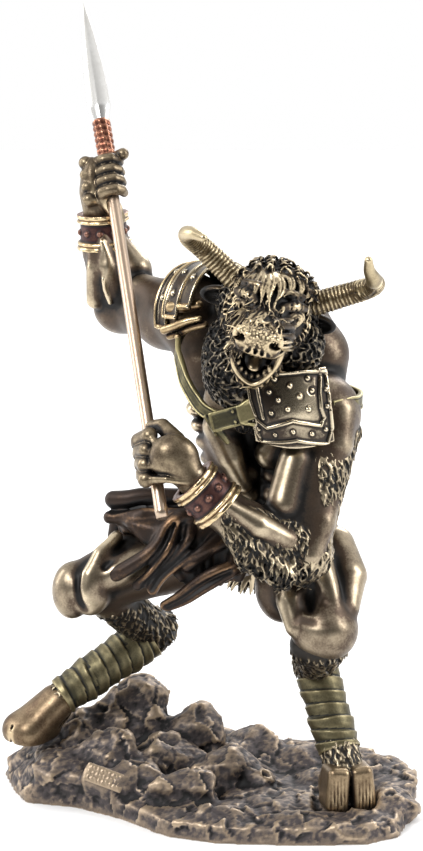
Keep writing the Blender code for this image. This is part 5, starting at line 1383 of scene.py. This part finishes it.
def spear_shell(name, finish, first, last, across, deep, counts, height, groove=0.0):
    """A closed skin round the spear's axis, from first to last along it, as wide and deep as its two profiles say."""
    nu, nv = counts
    turn, along = np.meshgrid(2 * pi * np.arange(nu) / nu, np.linspace(0, 1, nv), indexing="ij")
    reach_across, reach_deep = across(along) + height(turn, along), deep(along) + height(turn, along)
    x, y = np.cos(turn), np.sin(turn)
    flat = np.sign(x) * np.abs(x) ** (1 + groove), np.sign(y) * np.abs(y) ** (1 + groove)
    points = (spear_start + SHAFT * (first + (last - first) * along)[..., None]
              + spear_across * (reach_across * flat[0])[..., None] + spear_deep * (reach_deep * flat[1])[..., None])
    ends = np.stack([points[:, 0].mean(axis=0), points[:, -1].mean(axis=0)])
    i, j = np.meshgrid(np.arange(nu), np.arange(nv - 1), indexing="ij")
    i, j, after = i.ravel(), j.ravel(), ((i + 1) % nu).ravel()
    quads = np.stack([i * nv + j, after * nv + j, after * nv + j + 1, i * nv + j + 1], axis=1)
    low = [(a * nv, nu * nv, ((a + 1) % nu) * nv) for a in range(nu)]
    high = [(a * nv + nv - 1, ((a + 1) % nu) * nv + nv - 1, nu * nv + 1) for a in range(nu)]
    triangles = np.concatenate([quads[:, :3], quads[:, [0, 2, 3]], low, high])
    made = object_of(name, np.concatenate([points.reshape(-1, 3), ends]), triangles, finish)
    write_marks(made.data, *marks_by_smoothing(made.data, 0.2, 0.6))
    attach(made, "root")
    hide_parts("spear")
    return made


def rod_profile(along):
    return ROD_RADIUS - 0.25 * np.clip((0.004 - along) / 0.004, 0, 1)


def wire(turn, along):
    share = along * BINDING_LONG / 2.6 + turn / (2 * pi)
    return 0.42 * np.abs(np.sin(pi * share)) + 0.10 * np.sin(9 * turn + 5 * along) - 0.25


def leaf(along):
    return np.minimum(1, 0.62 + 3.0 * along) * (1 - along ** 2.4) * BLADE_HALF


spear_shell("spear_shaft", rod_metal, 0, BINDING_FROM + 1, rod_profile, rod_profile, (32, 60), lambda turn, along: 0 * turn)
spear_shell("spear_binding", binding_copper, BINDING_FROM, BINDING_FROM + BINDING_LONG, lambda along: 3.4 + 0 * along,
            lambda along: 3.4 + 0 * along, (64, 120), wire)
spear_shell("spear_blade", blade_steel, BINDING_FROM + BINDING_LONG - 0.5, BINDING_FROM + BINDING_LONG + BLADE_LONG - 0.2, leaf,
            lambda along: leaf(along) / BLADE_HALF * BLADE_THICK, (64, 80),
            lambda turn, along: 0 * turn, 0.35)

# The tablet's strokes. Rows of short raised strokes on the rock's name tablet, in place of a name.

strokes = Clay((-54, -26, 4), (-28, -2, 24), 0.34)
tablet_right, tablet_out = unit((0.93, -0.10, -0.33)), unit((0.02, -0.94, 0.34))
tablet_high = unit(np.cross(tablet_right, tablet_out))
tablet_high = tablet_high * np.sign(tablet_high[2])
tablet_axes = (tablet_right, tablet_out, tablet_high)
tablet_middle = np.array((-41.0, -13.0, 14.0)) + tablet_out * 3.8
strokes.block(tablet_middle, (7.8, 0.6, 3.6), tablet_axes, blend=0.2)
for row in range(3):
    for i in range(9):
        foot = tablet_middle + tablet_out * 0.65 + tablet_high * (1.9 - 1.9 * row) + tablet_right * (-6.2 + 1.5 * i)
        lean = (0.25, -0.3, 0.0)[(i + row) % 3]
        strokes.limb([foot - tablet_high * 0.5 - tablet_right * lean, foot + tablet_high * 0.5 + tablet_right * lean], 0.3, blend=0.15)
strokes.cast("tablet_strokes", rock_paint, "rock_base")

# The studio. A plain pale floor, soft lamps, and the camera at the photograph's angle.

CAMERA_DISTANCE = 1.2
CAMERA_RISE = 14.0
AIM_HEIGHT = 0.150
LENS_MM = 134.5
FLOOR_HALF = 1.6
FLOOR_COLOUR = "fcfcfc"
SKY_SIDES = "ffffff"
SKY_FRONT = "353433"


def soft_lamp(name, place, width, watts, tall=None):
    """A square soft lamp that faces the statue's middle."""
    lamp = bpy.data.lights.new(name, "AREA")
    lamp.shape = "RECTANGLE"
    lamp.size = width
    lamp.size_y = tall or width
    lamp.energy = watts
    holder = bpy.data.objects.new(name, lamp)
    holder.location = place
    holder.rotation_euler = (Vector((0, 0, AIM_HEIGHT)) - Vector(place)).to_track_quat("-Z", "Y").to_euler()
    bpy.context.scene.collection.objects.link(holder)


floor_mesh = bpy.data.meshes.new("studio_floor")
floor_mesh.from_pydata([(-FLOOR_HALF, -FLOOR_HALF, 0), (FLOOR_HALF, -FLOOR_HALF, 0), (FLOOR_HALF, FLOOR_HALF, 0),
                        (-FLOOR_HALF, FLOOR_HALF, 0)], [], [(0, 1, 2, 3)])
floor = bpy.data.objects.new("studio_floor", floor_mesh)
bpy.context.scene.collection.objects.link(floor)
floor_paint = bpy.data.materials.new("matt floor paint")
floor_paint.use_nodes = True
floor_paint.node_tree.nodes["Principled BSDF"].inputs["Base Color"].default_value = linear(FLOOR_COLOUR)
floor_paint.node_tree.nodes["Principled BSDF"].inputs["Roughness"].default_value = 0.9
floor_mesh.materials.append(floor_paint)

soft_lamp("key_lamp", (-0.75, -0.85, 1.15), 0.55, 16.0)
soft_lamp("right_lamp", (1.15, -0.25, 0.75), 0.5, 11.0, 1.0)
soft_lamp("left_lamp", (-1.2, 0.35, 0.6), 0.4, 7.0, 1.0)
soft_lamp("back_lamp", (0.5, 1.2, 0.9), 0.7, 9.0)

# The sky round the studio is bright at the sides and behind, and dim in front, where a photographer
# stands: the metal mirrors that as pale rims round a darker middle.
sky = bpy.data.worlds.new("studio_sky")
bpy.context.scene.world = sky
sky.use_nodes = True
sky_tree = sky.node_tree
direction = add_node(sky_tree, "TexCoord").outputs["Generated"]
parts = add_node(sky_tree, "SeparateXYZ", {0: direction})
to_front = add_node(sky_tree, "MapRange", {0: parts.outputs["Y"], 1: -0.9, 2: 0.1}, interpolation_type="SMOOTHSTEP")
shade = add_node(sky_tree, "Mix", {"Factor": to_front.outputs[0]}, data_type="RGBA")
shade.inputs["A"].default_value = linear(SKY_FRONT)
shade.inputs["B"].default_value = linear(SKY_SIDES)
backdrop = sky_tree.nodes["Background"]
sky_tree.links.new(shade.outputs["Result"], backdrop.inputs["Color"])
backdrop.inputs["Strength"].default_value = 1.0

lens = bpy.data.cameras.new("studio_camera")
lens.sensor_fit = "VERTICAL"
lens.sensor_height = 36.0
lens.lens = LENS_MM
camera = bpy.data.objects.new("studio_camera", lens)
rise = radians(CAMERA_RISE)
camera.location = (0, -CAMERA_DISTANCE * cos(rise), AIM_HEIGHT + CAMERA_DISTANCE * sin(rise))
camera.rotation_euler = (pi / 2 - rise, 0, 0)
bpy.context.scene.collection.objects.link(camera)
bpy.context.scene.camera = camera
bpy.context.scene.view_settings.view_transform = "Standard"
